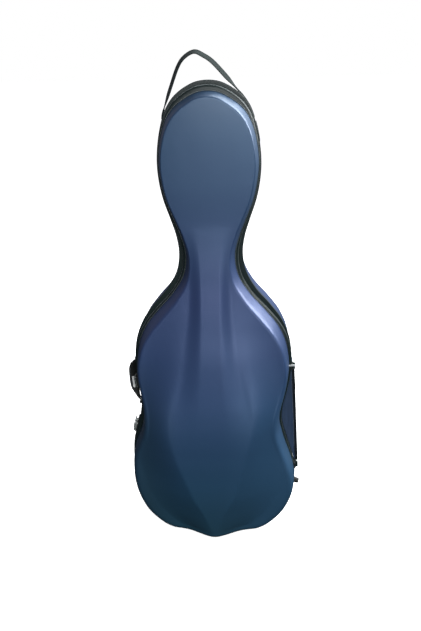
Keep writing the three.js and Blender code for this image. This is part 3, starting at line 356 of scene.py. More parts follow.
def fillet(points, radii, n=4):
    """Rounds the corners of a closed profile of (x, y), each an array or number; the same count of points everywhere."""
    out, m = [], len(points)
    for i in range(m):
        p = [np.asarray(c, float) for c in points[i]]
        a = [np.asarray(c, float) for c in points[i - 1]]
        b = [np.asarray(c, float) for c in points[(i + 1) % m]]
        r = radii[i]
        if r <= 0:
            out.append((p[0], p[1]))
            continue
        la, lb = np.hypot(a[0] - p[0], a[1] - p[1]), np.hypot(b[0] - p[0], b[1] - p[1])
        ra, rb = np.minimum(r, la * 0.48), np.minimum(r, lb * 0.48)
        pa = [p[c] + (a[c] - p[c]) / la * ra for c in (0, 1)]
        pb = [p[c] + (b[c] - p[c]) / lb * rb for c in (0, 1)]
        for k in range(n + 1):
            t = k / n
            out.append(tuple(pa[c] * (1 - t) ** 2 + 2 * p[c] * t * (1 - t) + pb[c] * t * t for c in (0, 1)))
    return out


# ================================================================ materials
class Nodes:
    """A small hand for node trees."""

    def __init__(self, name):
        self.m = bpy.data.materials.new(name)
        self.m.use_nodes = True
        self.t = self.m.node_tree
        self.t.nodes.clear()
        self.out = self.t.nodes.new("ShaderNodeOutputMaterial")
        self.b = self.t.nodes.new("ShaderNodeBsdfPrincipled")
        self.t.links.new(self.b.outputs[0], self.out.inputs[0])

    def n(self, kind, inputs=None, **props):
        x = self.t.nodes.new(kind)
        for k, v in props.items():
            setattr(x, k, v)
        for k, v in (inputs or {}).items():
            self.put(x.inputs[k], v)
        return x

    def put(self, socket, v):
        if isinstance(v, bpy.types.NodeSocket):
            self.t.links.new(v, socket)
        elif isinstance(v, bpy.types.Node):
            self.t.links.new(v.outputs[0], socket)
        else:
            socket.default_value = v

    def math(self, op, a, b=0.0, c=0.0, clamp=False):
        x = self.n("ShaderNodeMath", operation=op, use_clamp=clamp)
        for i, v in enumerate((a, b, c)):
            self.put(x.inputs[i], v)
        return x.outputs[0]

    def mix(self, f, a, b):
        x = self.n("ShaderNodeMix", data_type="RGBA")
        self.put(x.inputs[0], f)
        self.put(x.inputs[6], a)
        self.put(x.inputs[7], b)
        return x.outputs[2]

    def ramp(self, f, stops, mode="LINEAR"):
        x = self.n("ShaderNodeValToRGB")
        self.put(x.inputs[0], f)
        x.color_ramp.interpolation = mode
        e = x.color_ramp.elements
        while len(e) < len(stops):
            e.new(0.5)
        for el, (p, c) in zip(e, stops):
            el.position = p
            el.color = (*c, 1) if len(c) == 3 else c
        return x.outputs[0]

    def noise(self, vec, scale, detail=3.0, rough=0.5, dims="3D"):
        x = self.n("ShaderNodeTexNoise", {"Scale": scale, "Detail": detail, "Roughness": rough}, noise_dimensions=dims)
        if vec is not None:
            self.put(x.inputs["Vector"], vec)
        return x.outputs[0]

    def where(self):
        return self.n("ShaderNodeTexCoord").outputs["Object"]

    def xyz(self, vec=None):
        x = self.n("ShaderNodeSeparateXYZ")
        self.put(x.inputs[0], vec if vec is not None else self.where())
        return x.outputs

    def scaled(self, vec, s):
        x = self.n("ShaderNodeMapping")
        self.put(x.inputs["Vector"], vec)
        x.inputs["Scale"].default_value = s
        return x.outputs[0]

    def bump(self, height, distance, strength=1.0, normal=None):
        x = self.n("ShaderNodeBump", {"Strength": strength, "Distance": distance})
        self.put(x.inputs["Height"], height)
        if normal is not None:
            self.put(x.inputs["Normal"], normal)
        return x.outputs[0]

    def set(self, **kw):
        for k, v in kw.items():
            self.put(self.b.inputs[k.replace("_", " ")], v)
        return self


def shell_material():
    k = Nodes("satin_blue_shell")
    pos = k.where()
    x, y, z = k.xyz(pos)
    # cloth-like weave pressed in the skin, about 1.1 mm pitch
    wx = k.math("SINE", k.math("MULTIPLY", x, 2 * pi / 0.0011))
    wz = k.math("SINE", k.math("MULTIPLY", z, 2 * pi / 0.0011))
    wy = k.math("SINE", k.math("MULTIPLY", y, 2 * pi / 0.0011))
    weave = k.math("ADD", k.math("MULTIPLY", wx, wz), k.math("MULTIPLY", wy, 0.6))
    fine = k.noise(pos, 900, 2, 0.5)
    broad = k.noise(pos, 3.0, 3, 0.55)
    # the base colour is bluer in the middle and greener low down
    base = k.ramp(k.math("DIVIDE", z, 1.38), [(0.02, (0.018, 0.076, 0.112)), (0.16, (0.022, 0.080, 0.152)), (0.36, (0.031, 0.074, 0.178)), (0.58, (0.036, 0.067, 0.174)), (0.80, (0.035, 0.083, 0.165)), (0.90, (0.031, 0.079, 0.152)), (1.0, (0.024, 0.066, 0.126))])
    # painted shade and light: low down, the left side is mixed towards dark teal as painted shade and the right side
    # towards brighter blue as painted light
    low = k.math("DIVIDE", k.math("SUBTRACT", 0.62, z), 0.2, clamp=True)
    left = k.math("MULTIPLY", k.math("DIVIDE", k.math("SUBTRACT", -0.10, x), 0.10, clamp=True), low)
    right = k.math("MULTIPLY", k.math("DIVIDE", k.math("SUBTRACT", x, 0.03), 0.12, clamp=True), low)
    base = k.mix(k.math("MULTIPLY", left, 0.6), base, (0.016, 0.050, 0.068, 1))
    base = k.mix(k.math("MULTIPLY", right, 0.5), base, (0.034, 0.108, 0.205, 1))
    colour = k.mix(k.math("MULTIPLY", broad, 0.22), base, (0.05, 0.055, 0.15, 1))
    k.put(k.b.inputs["Base Color"], colour)
    k.put(k.b.inputs["Roughness"], k.math("ADD", 0.34, k.math("ADD", k.math("MULTIPLY", fine, 0.10), k.math("MULTIPLY", broad, 0.05))))
    k.set(Metallic=0.35, Coat_Weight=0.25, Coat_Roughness=0.22, Specular_IOR_Level=0.5)
    k.put(k.b.inputs["Normal"], k.bump(k.math("ADD", weave, k.math("MULTIPLY", fine, 1.4)), 0.00003, 0.5))
    return k.m


def rim_material():
    k = Nodes("rim_black")
    pos = k.where()
    fine = k.noise(pos, 700, 3, 0.6)
    broad = k.noise(pos, 9, 3, 0.6)
    k.put(k.b.inputs["Base Color"], k.mix(broad, (0.0065, 0.0125, 0.0125, 1), (0.012, 0.021, 0.021, 1)))
    k.put(k.b.inputs["Roughness"], k.math("ADD", 0.27, k.math("MULTIPLY", fine, 0.16)))
    k.set(Specular_IOR_Level=0.30)
    k.put(k.b.inputs["Normal"], k.bump(fine, 0.00004, 0.5))
    return k.m


def rubber_material():
    k = Nodes("rubber")
    pos = k.where()
    fine = k.noise(pos, 500, 4, 0.65)
    k.put(k.b.inputs["Base Color"], k.mix(fine, (0.0045, 0.006, 0.006, 1), (0.013, 0.0155, 0.015, 1)))
    k.put(k.b.inputs["Roughness"], k.math("ADD", 0.55, k.math("MULTIPLY", fine, 0.25)))
    k.put(k.b.inputs["Normal"], k.bump(fine, 0.0001, 0.5))
    return k.m


def steel_material():
    k = Nodes("nickel_plate")
    pos = k.where()
    brush = k.noise(k.scaled(pos, (2500, 2500, 60)), 1, 2, 0.5)
    broad = k.noise(pos, 60, 3, 0.6)
    k.put(k.b.inputs["Base Color"], k.mix(broad, (0.50, 0.53, 0.50, 1), (0.66, 0.68, 0.65, 1)))
    k.put(k.b.inputs["Roughness"], k.math("ADD", 0.16, k.math("ADD", k.math("MULTIPLY", brush, 0.08), k.math("MULTIPLY", broad, 0.10))))
    k.set(Metallic=0.72)
    k.put(k.b.inputs["Normal"], k.bump(brush, 0.00002, 0.3))
    return k.m


def plush_material(name, dark, light):
    k = Nodes(name)
    pos = k.where()
    fur = k.noise(pos, 620, 4, 0.7)
    patch = k.noise(pos, 18, 4, 0.6)
    k.put(k.b.inputs["Base Color"], k.mix(k.math("ADD", k.math("MULTIPLY", fur, 0.6), k.math("MULTIPLY", patch, 0.45)), (*dark, 1), (*light, 1)))
    k.put(k.b.inputs["Roughness"], k.math("ADD", 0.82, k.math("MULTIPLY", fur, 0.15)))
    k.set(Sheen_Weight=0.55, Sheen_Roughness=0.45)
    k.b.inputs["Sheen Tint"].default_value = (*[min(1, c * 6) for c in light], 1)
    k.put(k.b.inputs["Normal"], k.bump(k.math("ADD", fur, k.math("MULTIPLY", patch, 0.8)), 0.0009, 0.6))
    return k.m


# light grey satin for the rim welts: a painted highlight standing for the bright lines the rims' edges catch
def painted_highlight_welt_material():
    k = Nodes("welt_painted_highlight_grey")
    n = k.noise(k.where(), 300, 3, 0.6)
    k.put(k.b.inputs["Base Color"], k.mix(n, (0.13, 0.15, 0.155, 1), (0.22, 0.245, 0.25, 1)))
    k.put(k.b.inputs["Roughness"], k.math("ADD", 0.28, k.math("MULTIPLY", n, 0.15)))
    k.set(Metallic=0.5)
    k.put(k.b.inputs["Normal"], k.bump(n, 0.00003, 0.4))
    return k.m


SHELL_MAT = shell_material()
PAINTED_HIGHLIGHT_WELT_MAT = painted_highlight_welt_material()
RIM_MAT = rim_material()
RUBBER_MAT = rubber_material()
STEEL_MAT = steel_material()
PLUSH_MAT = plush_material("plush_dark", (0.010, 0.012, 0.017), (0.030, 0.035, 0.046))
GREY_PLUSH_MAT = plush_material("plush_grey", (0.045, 0.05, 0.06), (0.11, 0.12, 0.14))


# ================================================================ shells and rims
COLS = 560
S_FINE = stations(COLS)
WALLS = [k / 26 for k in range(1, 27)]
PANELS = [k / 46 for k in range(1, 47)]


def shells():
    for side, node, body, edge in (("lid", "lid_shell", "lid", LID_EDGE), ("back", "back_shell", "case", BACK_EDGE)):
        v, f = shell_mesh(side, 0, SHELL, S_FINE, [edge, 8.0, RIM_DEPTH + 0.5], WALLS, PANELS)
        ob = mesh_mm(side + "_moulding", v, f, SHELL_MAT, sharp=60)
        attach(ob, body)
        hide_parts(node)
        v, f = shell_mesh(side, SHELL + FOAM_GAP, SHELL + FOAM_GAP + FOAM, stations(240), [edge], WALLS[1::2], PANELS[1::2])
        ob = mesh_mm(side + "_plush_lining", v, f, PLUSH_MAT, sharp=60)
        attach(ob, body)
        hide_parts(side + "_lining")


def rims():
    def back(s):
        e = s["seam"] + 1.6
        z = np.zeros_like(e)
        pts = [(z, 0.3), (e, 0.3), (e, 2.2), (e + 5.4, 2.2), (e + 5.4, 3.9), (z + 2.5, 3.9), (z + 2.5, RIM_DEPTH), (z, 11.5)]
        return fillet(pts, [1.4, 0.4, 0, 0.5, 0.5, 0, 0.5, 1.6], 5)

    def lid(s):
        i = s["band"] - 0.3
        e = np.minimum(s["seam"], s["band"] - 1.2)
        pts = [(e, -0.3), (e, -10.5), (e + 0.35 * (i - e), -13.2), (i, -RIM_DEPTH), (i, -3.3), (s["band"] + 5, -3.3), (s["band"] + 5, -0.3)]
        return fillet(pts, [0.7, 2.4, 3.0, 0.5, 0, 0.6, 0.6], 5)

    def gasket(s):
        a = s["seam"]
        return fillet([(a + 2, 0.35), (a + 6.1, 0.35), (a + 6.1, 1.9), (a + 2, 1.9)], [0.7, 0.7, 0.2, 0.2], 4)

    def bead(inset, y, size):
        def prof(s):
            r = size * (0.25 + 0.75 * np.clip((s["seam"] - 1.5) / 5.0, 0, 1))
            return [(inset(s) + r * math.cos(a), y - r * math.sin(a)) for a in np.arange(10) * 2 * pi / 10]
        return prof

    # two fine welts whose light grey is a painted highlight along the rim edges: one where the rims meet, one along the
    # front edge of the lid's rim
    for name, prof in (("seam_welt", bead(lambda s: np.minimum(s["seam"], s["band"] - 1.2) - 0.1, -1.5, 0.95)), ("front_welt", bead(lambda s: s["band"] - 1.4, -13.6, 0.6))):
        v, f = rim_mesh(prof, S_FINE)
        ob = mesh_mm(name, v, f, PAINTED_HIGHLIGHT_WELT_MAT, sharp=0)
        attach(ob, "lid")

    for name, node, body, prof, mat, slot in (("back_edge_rim", "back_rim", "case", back, RIM_MAT, "rim_black"), ("lid_edge_rim", "lid_rim", "lid", lid, RIM_MAT, "rim_black"), ("seal_cord", "rim_gasket", "case", gasket, RUBBER_MAT, "rubber")):
        v, f = rim_mesh(prof, S_FINE)
        ob = mesh_mm(name, v, f, mat, sharp=50)
        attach(ob, body)
        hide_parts(node)


shells()
rims()

# ================================================================ shapes in local millimetres
def take(bm):
    bm.verts.index_update()
    out = np.array([w.co[:] for w in bm.verts]), [[w.index for w in g.verts] for g in bm.faces]
    bm.free()
    return out


def rbox(x0, x1, y0, y1, z0, z1, r=0.5, seg=2):
    bm = bmesh.new()
    bmesh.ops.create_cube(bm, size=1)
    for w in bm.verts:
        w.co = Vector(((x0 + x1) / 2 + w.co.x * (x1 - x0), (y0 + y1) / 2 + w.co.y * (y1 - y0), (z0 + z1) / 2 + w.co.z * (z1 - z0)))
    bmesh.ops.bevel(bm, geom=bm.edges[:], offset=min(r, 0.45 * min(x1 - x0, y1 - y0, z1 - z0)), segments=seg, profile=0.5, affect="EDGES")
    return take(bm)


def rrect(x0, x1, y0, y1, r, n=5):
    out = []
    for cx, cy, a in ((x1 - r, y1 - r, 0), (x0 + r, y1 - r, 90), (x0 + r, y0 + r, 180), (x1 - r, y0 + r, 270)):
        out += [(cx + r * math.cos((a + 90 * k / n) * RAD), cy + r * math.sin((a + 90 * k / n) * RAD)) for k in range(n + 1)]
    return out


def rows_part(rows, closed=False, wrap=False):
    """A loft through rows of equal count; both ends are capped unless it closes."""
    n, m = len(rows[0]), len(rows)
    f = grid_faces(m, n, wrap_rows=closed)
    if not closed:
        f += [list(range(n))[::-1], [(m - 1) * n + k for k in range(n)]]
    return np.concatenate([np.asarray(r, float) for r in rows]), f


def plate(points, h0, h1, r=0.3, seg=2, axes=(0, 1, 2)):
    """A plate with a rounded rim: points (a, b) round it, thickness along h; axes says which of x, y, z are a, b, h."""
    p = np.asarray(points, float)
    t = np.roll(p, -1, 0) - np.roll(p, 1, 0)
    t /= np.linalg.norm(t, axis=1)[:, None]
    area = np.sum(p[:, 0] * np.roll(p[:, 1], -1) - np.roll(p[:, 0], -1) * p[:, 1])
    inward = np.stack([-t[:, 1], t[:, 0]], 1) * (1 if area > 0 else -1)
    r = min(r, 0.48 * (h1 - h0))
    rows = []
    for base, s in ((h0, 1), (h1, -1)):
        part = [(r * (1 - math.sin(pi / 2 * k / seg)), base + s * r * (1 - math.cos(pi / 2 * k / seg))) for k in range(seg + 1)]
        rows += part if s > 0 else part[::-1]
    v, f = rows_part([np.column_stack([p + inward * i, np.full(len(p), h)]) for i, h in rows])
    out = np.empty_like(v)
    for k, a in enumerate(axes):
        out[:, a] = v[:, k]
    return out, f


def turned(profile, n=28, hollow=False):
    w = np.arange(n) * 2 * pi / n
    rows = [np.stack([r * np.cos(w), r * np.sin(w), np.full(n, h)], 1) for r, h in profile]
    return merge(np.concatenate(rows), grid_faces(len(rows), n, wrap_rows=hollow), 1e-4)


def unit(v):
    v = np.asarray(v, float)
    return v / np.linalg.norm(v)


def axes_at(o, x, y, z):
    m = np.array([x, y, z], float)
    return lambda v: np.asarray(o, float) + np.asarray(v, float) @ m


def aim(part, a, b):
    """Turns a part made along z from 0 so that it runs from a towards b."""
    z = unit(np.asarray(b, float) - np.asarray(a, float))
    x = unit(np.cross(z, (0, 0, 1) if abs(z[2]) < 0.9 else (1, 0, 0)))
    return axes_at(a, x, np.cross(z, x), z)(part[0]), part[1]


def rod(a, b, r, n=20, c=0.25):
    h = float(np.linalg.norm(np.asarray(b, float) - np.asarray(a, float)))
    c = min(c, r * 0.5, h * 0.4)
    return aim(turned([(0, 0), (r - c, 0), (r - 0.3 * c, 0.3 * c), (r, c), (r, h - c), (r - 0.3 * c, h - 0.3 * c), (r - c, h), (0, h)], n), a, b)


def ring(a, b, r, bore, n=26, c=0.3):
    h = float(np.linalg.norm(np.asarray(b, float) - np.asarray(a, float)))
    return aim(turned([(bore, 0), (r - c, 0), (r, c), (r, h - c), (r - c, h), (bore, h)], n, hollow=True), a, b)


def dome(a, b, r, h, n=22):
    """A rivet head at a, rising towards b."""
    return aim(turned([(0, -0.5), (r, -0.5), (r, 0.12 * h)] + [(r * math.cos(t * pi / 2), h * (0.12 + 0.88 * math.sin(t * pi / 2))) for t in (0.2, 0.4, 0.6, 0.8, 1.0)], n), a, b)


def tube(path, r, n=12, closed=False):
    p = np.asarray(path, float)
    t = (np.roll(p, -1, 0) - np.roll(p, 1, 0)) if closed else np.gradient(p, axis=0)
    t /= np.linalg.norm(t, axis=1)[:, None]
    rr = np.broadcast_to(np.asarray(r, float), (len(p),))
    u = unit(np.cross(t[0], (0, 0, 1) if abs(t[0][2]) < 0.9 else (1, 0, 0)))
    rows, w = [], np.arange(n) * 2 * pi / n
    for i in range(len(p)):
        u = unit(u - t[i] * (u @ t[i]))
        s = np.cross(t[i], u)
        rows.append(p[i] + rr[i] * (np.outer(np.cos(w), u) + np.outer(np.sin(w), s)))
    if not closed:
        for end, sgn in ((0, -1), (-1, 1)):
            c = p[end]
            caps = [c + (rows[end] - c) * math.cos(k * pi / 6) + sgn * t[end] * rr[end] * math.sin(k * pi / 6) * 0.6 for k in (1, 2)]
            rows = (caps[::-1] + rows) if end == 0 else (rows + caps)
    return rows_part(rows, closed)


def catmull(points, n, closed=False):
    """n places along a smooth curve through the points, evenly spaced."""
    p = np.asarray(points, float)
    if closed:
        q = np.concatenate([p[-1:], p, p[:2]])
    else:
        q = np.concatenate([2 * p[:1] - p[1:2], p, 2 * p[-1:] - p[-2:-1]])
    fine, t = [], np.linspace(0, 1, 24, endpoint=False)[:, None]
    for i in range(1, len(q) - 2):
        a, b, c, d = q[i - 1], q[i], q[i + 1], q[i + 2]
        fine.append(0.5 * (2 * b + (c - a) * t + (2 * a - 5 * b + 4 * c - d) * t ** 2 + (3 * b - a - 3 * c + d) * t ** 3))
    fine = np.concatenate(fine + [q[-2:-1]])
    s = np.concatenate([[0], np.cumsum(np.linalg.norm(np.diff(fine, axis=0), axis=1))])
    at = np.linspace(0, s[-1], n, endpoint=not closed)
    return np.stack([np.interp(at, s, fine[:, k]) for k in range(fine.shape[1])], 1)


def bent(points, r, n=6):
    """A polyline with its inner corners rounded."""
    p, out = [np.asarray(q, float) for q in points], []
    for i, c in enumerate(p):
        if i in (0, len(p) - 1):
            out.append(c)
            continue
        a, b = p[i - 1] - c, p[i + 1] - c
        la, lb = np.linalg.norm(a), np.linalg.norm(b)
        e = min(r, la * 0.49, lb * 0.49)
        for k in range(n + 1):
            t = k / n
            out.append((c + a / la * e) * (1 - t) ** 2 + 2 * c * t * (1 - t) + (c + b / lb * e) * t * t)
    return np.array(out)


class Piece:
    """Closed bodies gathered into one visible piece, in case millimetres."""

    def __init__(self, name):
        self.name, self.v, self.f, self.m, self.uv, self.n = name, [], [], [], [], 0

    def add(self, part, at=None, mat=0, uv=None):
        v = np.asarray(part[0], float)
        uv = np.zeros((len(v), 2)) if uv is None else uv
        self.v.append(at(v) if at else v)
        self.f += [[i + self.n for i in g] for g in part[1]]
        self.m += [mat] * len(part[1])
        self.uv.append(uv)
        self.n += len(v)
        return self

    def done(self, body, nodes, slot, mats, sharp=38):
        ob = mesh_mm(self.name, np.concatenate(self.v), self.f, None, sharp)
        me = ob.data
        for m in mats:
            me.materials.append(m)
        if len(me.polygons) == len(self.m):
            me.polygons.foreach_set("material_index", self.m)
        uv = np.concatenate(self.uv)
        if len(uv) == len(me.vertices):
            layer = me.uv_layers.new(name="uv")
            idx = np.empty(len(me.loops), int)
            me.loops.foreach_get("vertex_index", idx)
            layer.data.foreach_set("uv", uv[idx].ravel())
        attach(ob, body)
        if nodes:
            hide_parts(*nodes)
        return ob


def side_frame(z, side, inset=0.0):
    """x runs along the outline, y to the back and z straight out of the side."""
    s = settle(outline_at(chord_at_z(z)), side)
    x, zz, nx, nz = (float(s[k][0]) for k in ("x", "z", "nx", "nz"))
    return axes_at((x - nx * inset, 0, zz - nz * inset), (nz, 0, -nx), (0, 1, 0), (nx, 0, nz))


def screw_head(piece, c, way, r, at=None, turn=0.4):
    """A low cross-slotted head at c that faces way; the slot is a dark raised bar of painted shade."""
    c, way = np.asarray(c, float), unit(way)
    v, f = aim(turned([(0, -0.6), (r, -0.6), (r, 0.15), (r * 0.8, 0.5), (r * 0.45, 0.68), (0, 0.72)], 24), c, c + way)
    piece.add((v, f), at, 0)
    a = unit(np.cross(way, (0.3, 0.2, 1)))
    b = np.cross(way, a)
    a, b = a * math.cos(turn) + b * math.sin(turn), b * math.cos(turn) - a * math.sin(turn)
    for p, q in ((a, b), (b, a)):
        v, f = rbox(-r * 0.5, r * 0.5, -r * 0.11, r * 0.11, 0.3, 0.76, 0.05, 1)
        piece.add((axes_at(c, p, q, way)(v), f), at, 1)


def stitches(piece, path, up, step=4.2, length=3.0, r=0.42, mat=1, at=None):
    """A run of thread along a path on a surface whose outward way is up (one vector, or one for each point)."""
    p = np.asarray(path, float)
    s = np.concatenate([[0], np.cumsum(np.linalg.norm(np.diff(p, axis=0), axis=1))])
    u = np.broadcast_to(np.asarray(up, float), p.shape)
    get = lambda d, arr: np.array([np.interp(d, s, arr[:, k]) for k in range(3)])
    count = max(1, int(s[-1] / step))
    for i in range(count):
        d0 = (i + 0.5) * s[-1] / count - length / 2
        pts = []
        for t, h in ((0, -0.25), (0.18, 0.2), (0.5, 0.36), (0.82, 0.2), (1, -0.25)):
            pts.append(get(d0 + t * length, p) + get(d0 + t * length, u) * h)
        piece.add(tube(pts, r, 6), at, mat)


# ================================================================ more materials
# painted shade for screw slots: dark bars laid on the heads where a recess would be shaded
def dark_slot_material():
    k = Nodes("slot_shadow")
    n = k.noise(k.where(), 900, 2, 0.5)
    k.put(k.b.inputs["Base Color"], k.mix(n, (0.004, 0.004, 0.004, 1), (0.012, 0.012, 0.012, 1)))
    k.put(k.b.inputs["Roughness"], k.math("ADD", 0.7, k.math("MULTIPLY", n, 0.2)))
    return k.m


def web_material(name, dark, light, pitch=0.0016, source="UV"):
    """Ribbed webbing: u runs across the band and v along it, in metres."""
    k = Nodes(name)
    tc = k.n("ShaderNodeTexCoord")
    u, v, w = k.xyz(tc.outputs[source])
    a = k.math("ABSOLUTE", k.math("SINE", k.math("MULTIPLY", u, pi / pitch)))
    skew = k.math("ADD", v, k.math("MULTIPLY", k.math("PINGPONG", u, pitch), 0.9))
    b = k.math("ABSOLUTE", k.math("SINE", k.math("MULTIPLY", skew, pi / (pitch * 0.75))))
    h = k.math("MULTIPLY", k.math("POWER", a, 0.6), k.math("ADD", 0.45, k.math("MULTIPLY", b, 0.55)))
    fuzz = k.noise(k.where(), 1400, 3, 0.7)
    worn = k.noise(k.where(), 22, 3, 0.6)
    tone = k.math("ADD", k.math("MULTIPLY", h, 0.4), k.math("ADD", k.math("MULTIPLY", fuzz, 0.15), k.math("MULTIPLY", worn, 0.4)))
    k.put(k.b.inputs["Base Color"], k.mix(tone, (*dark, 1), (*light, 1)))
    k.put(k.b.inputs["Roughness"], k.math("ADD", 0.74, k.math("MULTIPLY", fuzz, 0.2)))
    k.set(Sheen_Weight=0.04, Sheen_Roughness=0.5, Specular_IOR_Level=0.12)
    k.put(k.b.inputs["Normal"], k.bump(k.math("ADD", h, k.math("MULTIPLY", fuzz, 0.3)), 0.00010, 0.35))
    return k.m


def cloth_material(name, dark, light, weave=0.0009, streak=0.35):
    """Coated woven cloth with faint upright streaks."""
    k = Nodes(name)
    pos = k.where()
    x, y, z = k.xyz(pos)
    h = k.math("MULTIPLY", k.math("SINE", k.math("MULTIPLY", k.math("ADD", x, y), 2 * pi / weave)), k.math("SINE", k.math("MULTIPLY", z, 2 * pi / weave)))
    long = k.noise(k.scaled(pos, (160, 160, 5)), 1, 4, 0.6)
    soft = k.noise(pos, 14, 4, 0.55)
    fuzz = k.noise(pos, 1100, 2, 0.6)
    tone = k.math("ADD", k.math("MULTIPLY", long, streak), k.math("ADD", k.math("MULTIPLY", soft, 0.45), k.math("MULTIPLY", fuzz, 0.2)))
    k.put(k.b.inputs["Base Color"], k.mix(tone, (*dark, 1), (*light, 1)))
    k.put(k.b.inputs["Roughness"], k.math("ADD", 0.52, k.math("MULTIPLY", fuzz, 0.2)))
    k.set(Sheen_Weight=0.08, Sheen_Roughness=0.4, Specular_IOR_Level=0.35)
    n1 = k.bump(k.math("ADD", k.math("MULTIPLY", soft, 1.0), k.math("MULTIPLY", long, 0.5)), 0.0012, 0.5)
    k.put(k.b.inputs["Normal"], k.bump(k.math("ADD", h, fuzz), 0.00012, 0.5, n1))
    return k.m


def thread_material(name, colour):
    k = Nodes(name)
    n = k.noise(k.where(), 2600, 2, 0.6)
    k.put(k.b.inputs["Base Color"], k.mix(n, (*[c * 0.6 for c in colour], 1), (*colour, 1)))
    k.put(k.b.inputs["Roughness"], k.math("ADD", 0.5, k.math("MULTIPLY", n, 0.3)))
    k.put(k.b.inputs["Normal"], k.bump(n, 0.0001, 0.5))
    return k.m


def bare_plate_material():
    k = Nodes("pale_plate")
    pos = k.where()
    n = k.noise(pos, 420, 3, 0.6)
    s = k.noise(k.scaled(pos, (90, 90, 1600)), 1, 2, 0.5)
    k.put(k.b.inputs["Base Color"], k.mix(n, (0.50, 0.51, 0.50, 1), (0.66, 0.67, 0.66, 1)))
    k.put(k.b.inputs["Roughness"], k.math("ADD", 0.32, k.math("MULTIPLY", s, 0.18)))
    k.set(Metallic=0.6)
    k.put(k.b.inputs["Normal"], k.bump(s, 0.00003, 0.4))
    return k.m


SLOT_MAT = dark_slot_material()


def metal_material(name, dark, light, metallic, rough):
    k = Nodes(name)
    pos = k.where()
    brush = k.noise(k.scaled(pos, (2500, 2500, 60)), 1, 2, 0.5)
    broad = k.noise(pos, 60, 3, 0.6)
    k.put(k.b.inputs["Base Color"], k.mix(broad, (*dark, 1), (*light, 1)))
    k.put(k.b.inputs["Roughness"], k.math("ADD", rough, k.math("ADD", k.math("MULTIPLY", brush, 0.08), k.math("MULTIPLY", broad, 0.08))))
    k.set(Metallic=metallic)
    k.put(k.b.inputs["Normal"], k.bump(brush, 0.00002, 0.3))
    return k.m


DARK_STEEL_MAT = metal_material("blackened_plate", (0.020, 0.024, 0.024), (0.040, 0.046, 0.046), 0.5, 0.24)
# the handle plate is near white and not metallic: painted light that keeps it bright where it sits in shade
HANDLE_PLATE_PAINTED_LIGHT_MAT = metal_material("handle_plate_painted_light", (0.86, 0.87, 0.85), (0.95, 0.95, 0.94), 0.0, 0.4)
WEB_MAT = web_material("webbing_ribbed", (0.009, 0.015, 0.0145), (0.019, 0.029, 0.028))
BINDING_MAT = web_material("binding_tape", (0.004, 0.006, 0.009), (0.011, 0.015, 0.020))
WEB_LOCAL_MAT = web_material("webbing_ribbed_local", (0.010, 0.015, 0.015), (0.030, 0.040, 0.040), source="Object")
POCKET_MAT = cloth_material("pocket_cloth", (0.007, 0.017, 0.040), (0.026, 0.052, 0.108), streak=0.75)
THREAD_MAT = thread_material("thread_dark", (0.06, 0.07, 0.075))
THREAD_GREY_MAT = thread_material("thread_grey", (0.22, 0.24, 0.27))
PLATE_MAT = bare_plate_material()


# ================================================================ hinges
def hinge_pieces():
    up = unit(HINGE_HIGH - HINGE_LOW)
    ex = np.array([up[2], 0, -up[0]])
    for name, z0 in HINGE_Z.items():
        o = HINGE_HIGH + (HINGE_LOW - HINGE_HIGH) * (z0 - HINGE_HIGH[2]) / (HINGE_LOW[2] - HINGE_HIGH[2])
        at = axes_at(o, ex, (0, 1, 0), up)

        def rim_x(z, lid):
            p = o + up * z
            s = settle(outline_at(chord_at_z(p[2])), 1)
            inset = (float(s["seam"][0]) if lid else 0) - 0.55
            return (float(s["x"][0] - s["nx"][0] * inset) - p[0]) / ex[0]

        for lid, body, sgn in ((False, "case", 1), (True, "lid", -1)):
            k = Piece(name + ("_leaf_on_lid" if lid else "_leaf_on_back"))
            rows = []
            for z in np.linspace(0.9 - LEAF, LEAF - 0.9, 7):
                x0 = min(rim_x(z, lid), -5.2)
                ys = (1.3, 13.0) if sgn > 0 else (-13.0, -1.3)
                rows.append([(x, y, z) for x, y in rrect(x0, -4.2, ys[0], ys[1], 0.45, 3)])
            k.add(rows_part(rows), at, 2)
            pts = [(y * sgn, z * LEAF) for y, z in ((0.9, -0.99), (10.4, -0.99), (12.6, -0.88), (13.5, -0.66), (13.5, 0.66), (12.6, 0.88), (10.4, 0.99), (0.9, 0.99))]
            k.add(plate(pts, -4.85, -3.05, 0.35, 3, (1, 2, 0)), at, 0)
            for z0k, z1k in (((0.1 - LEAF, -3.7), (3.7, LEAF - 0.1)) if not lid else ((-3.1, 3.1),)):
                k.add(ring((0, 0, z0k), (0, 0, z1k), 4.2, 1.95), at, 0)
                k.add(rbox(-4.8, -2.3, 0.9 * sgn if sgn > 0 else -3.3, 3.3 if sgn > 0 else -0.9, z0k + 0.05, z1k - 0.05, 0.2, 1), at, 0)
            for z in (5.0, -5.0):
                screw_head(k, (-3.05, 9.0 * sgn, z), (1, 0, 0), 2.4, at, 0.3 + z * 0.05)
            k.done(body, [name + ("_lid_leaf" if lid else "_back_leaf")], "rim_black", [RIM_MAT, SLOT_MAT, RUBBER_MAT])
        half = [(0, 1.9), (1.6, 1.8), (2.6, 1.4), (2.9, 0.9), (2.6, 0.45), (1.6, 0.35)]
        pin = turned([(r, -LEAF - h) for r, h in half] + [(r, LEAF + h) for r, h in half[::-1]], 24)
        Piece(name + "_rivet_pin").add(pin, at).done("case", [name + "_pin"], "steel", [STEEL_MAT])
        if name == "hinge_upper":
            pts = [(-14.5, -16.2), (3.3, -16.2), (3.3, -14.0), (-4.5, -14.0), (-4.5, -14.7), (-14.5, -14.7)]
            k = Piece("hinge_upper_bright_clip").add(plate(pts, 3.7, 9.7, 0.3, 2), at)
            k.add(dome((-11.6, -16.0, 6.7), (-11.6, -20, 6.7), 1.2, 0.35), at)
            k.done("lid", ["hinge_upper_clip"], "steel", [PLATE_MAT])


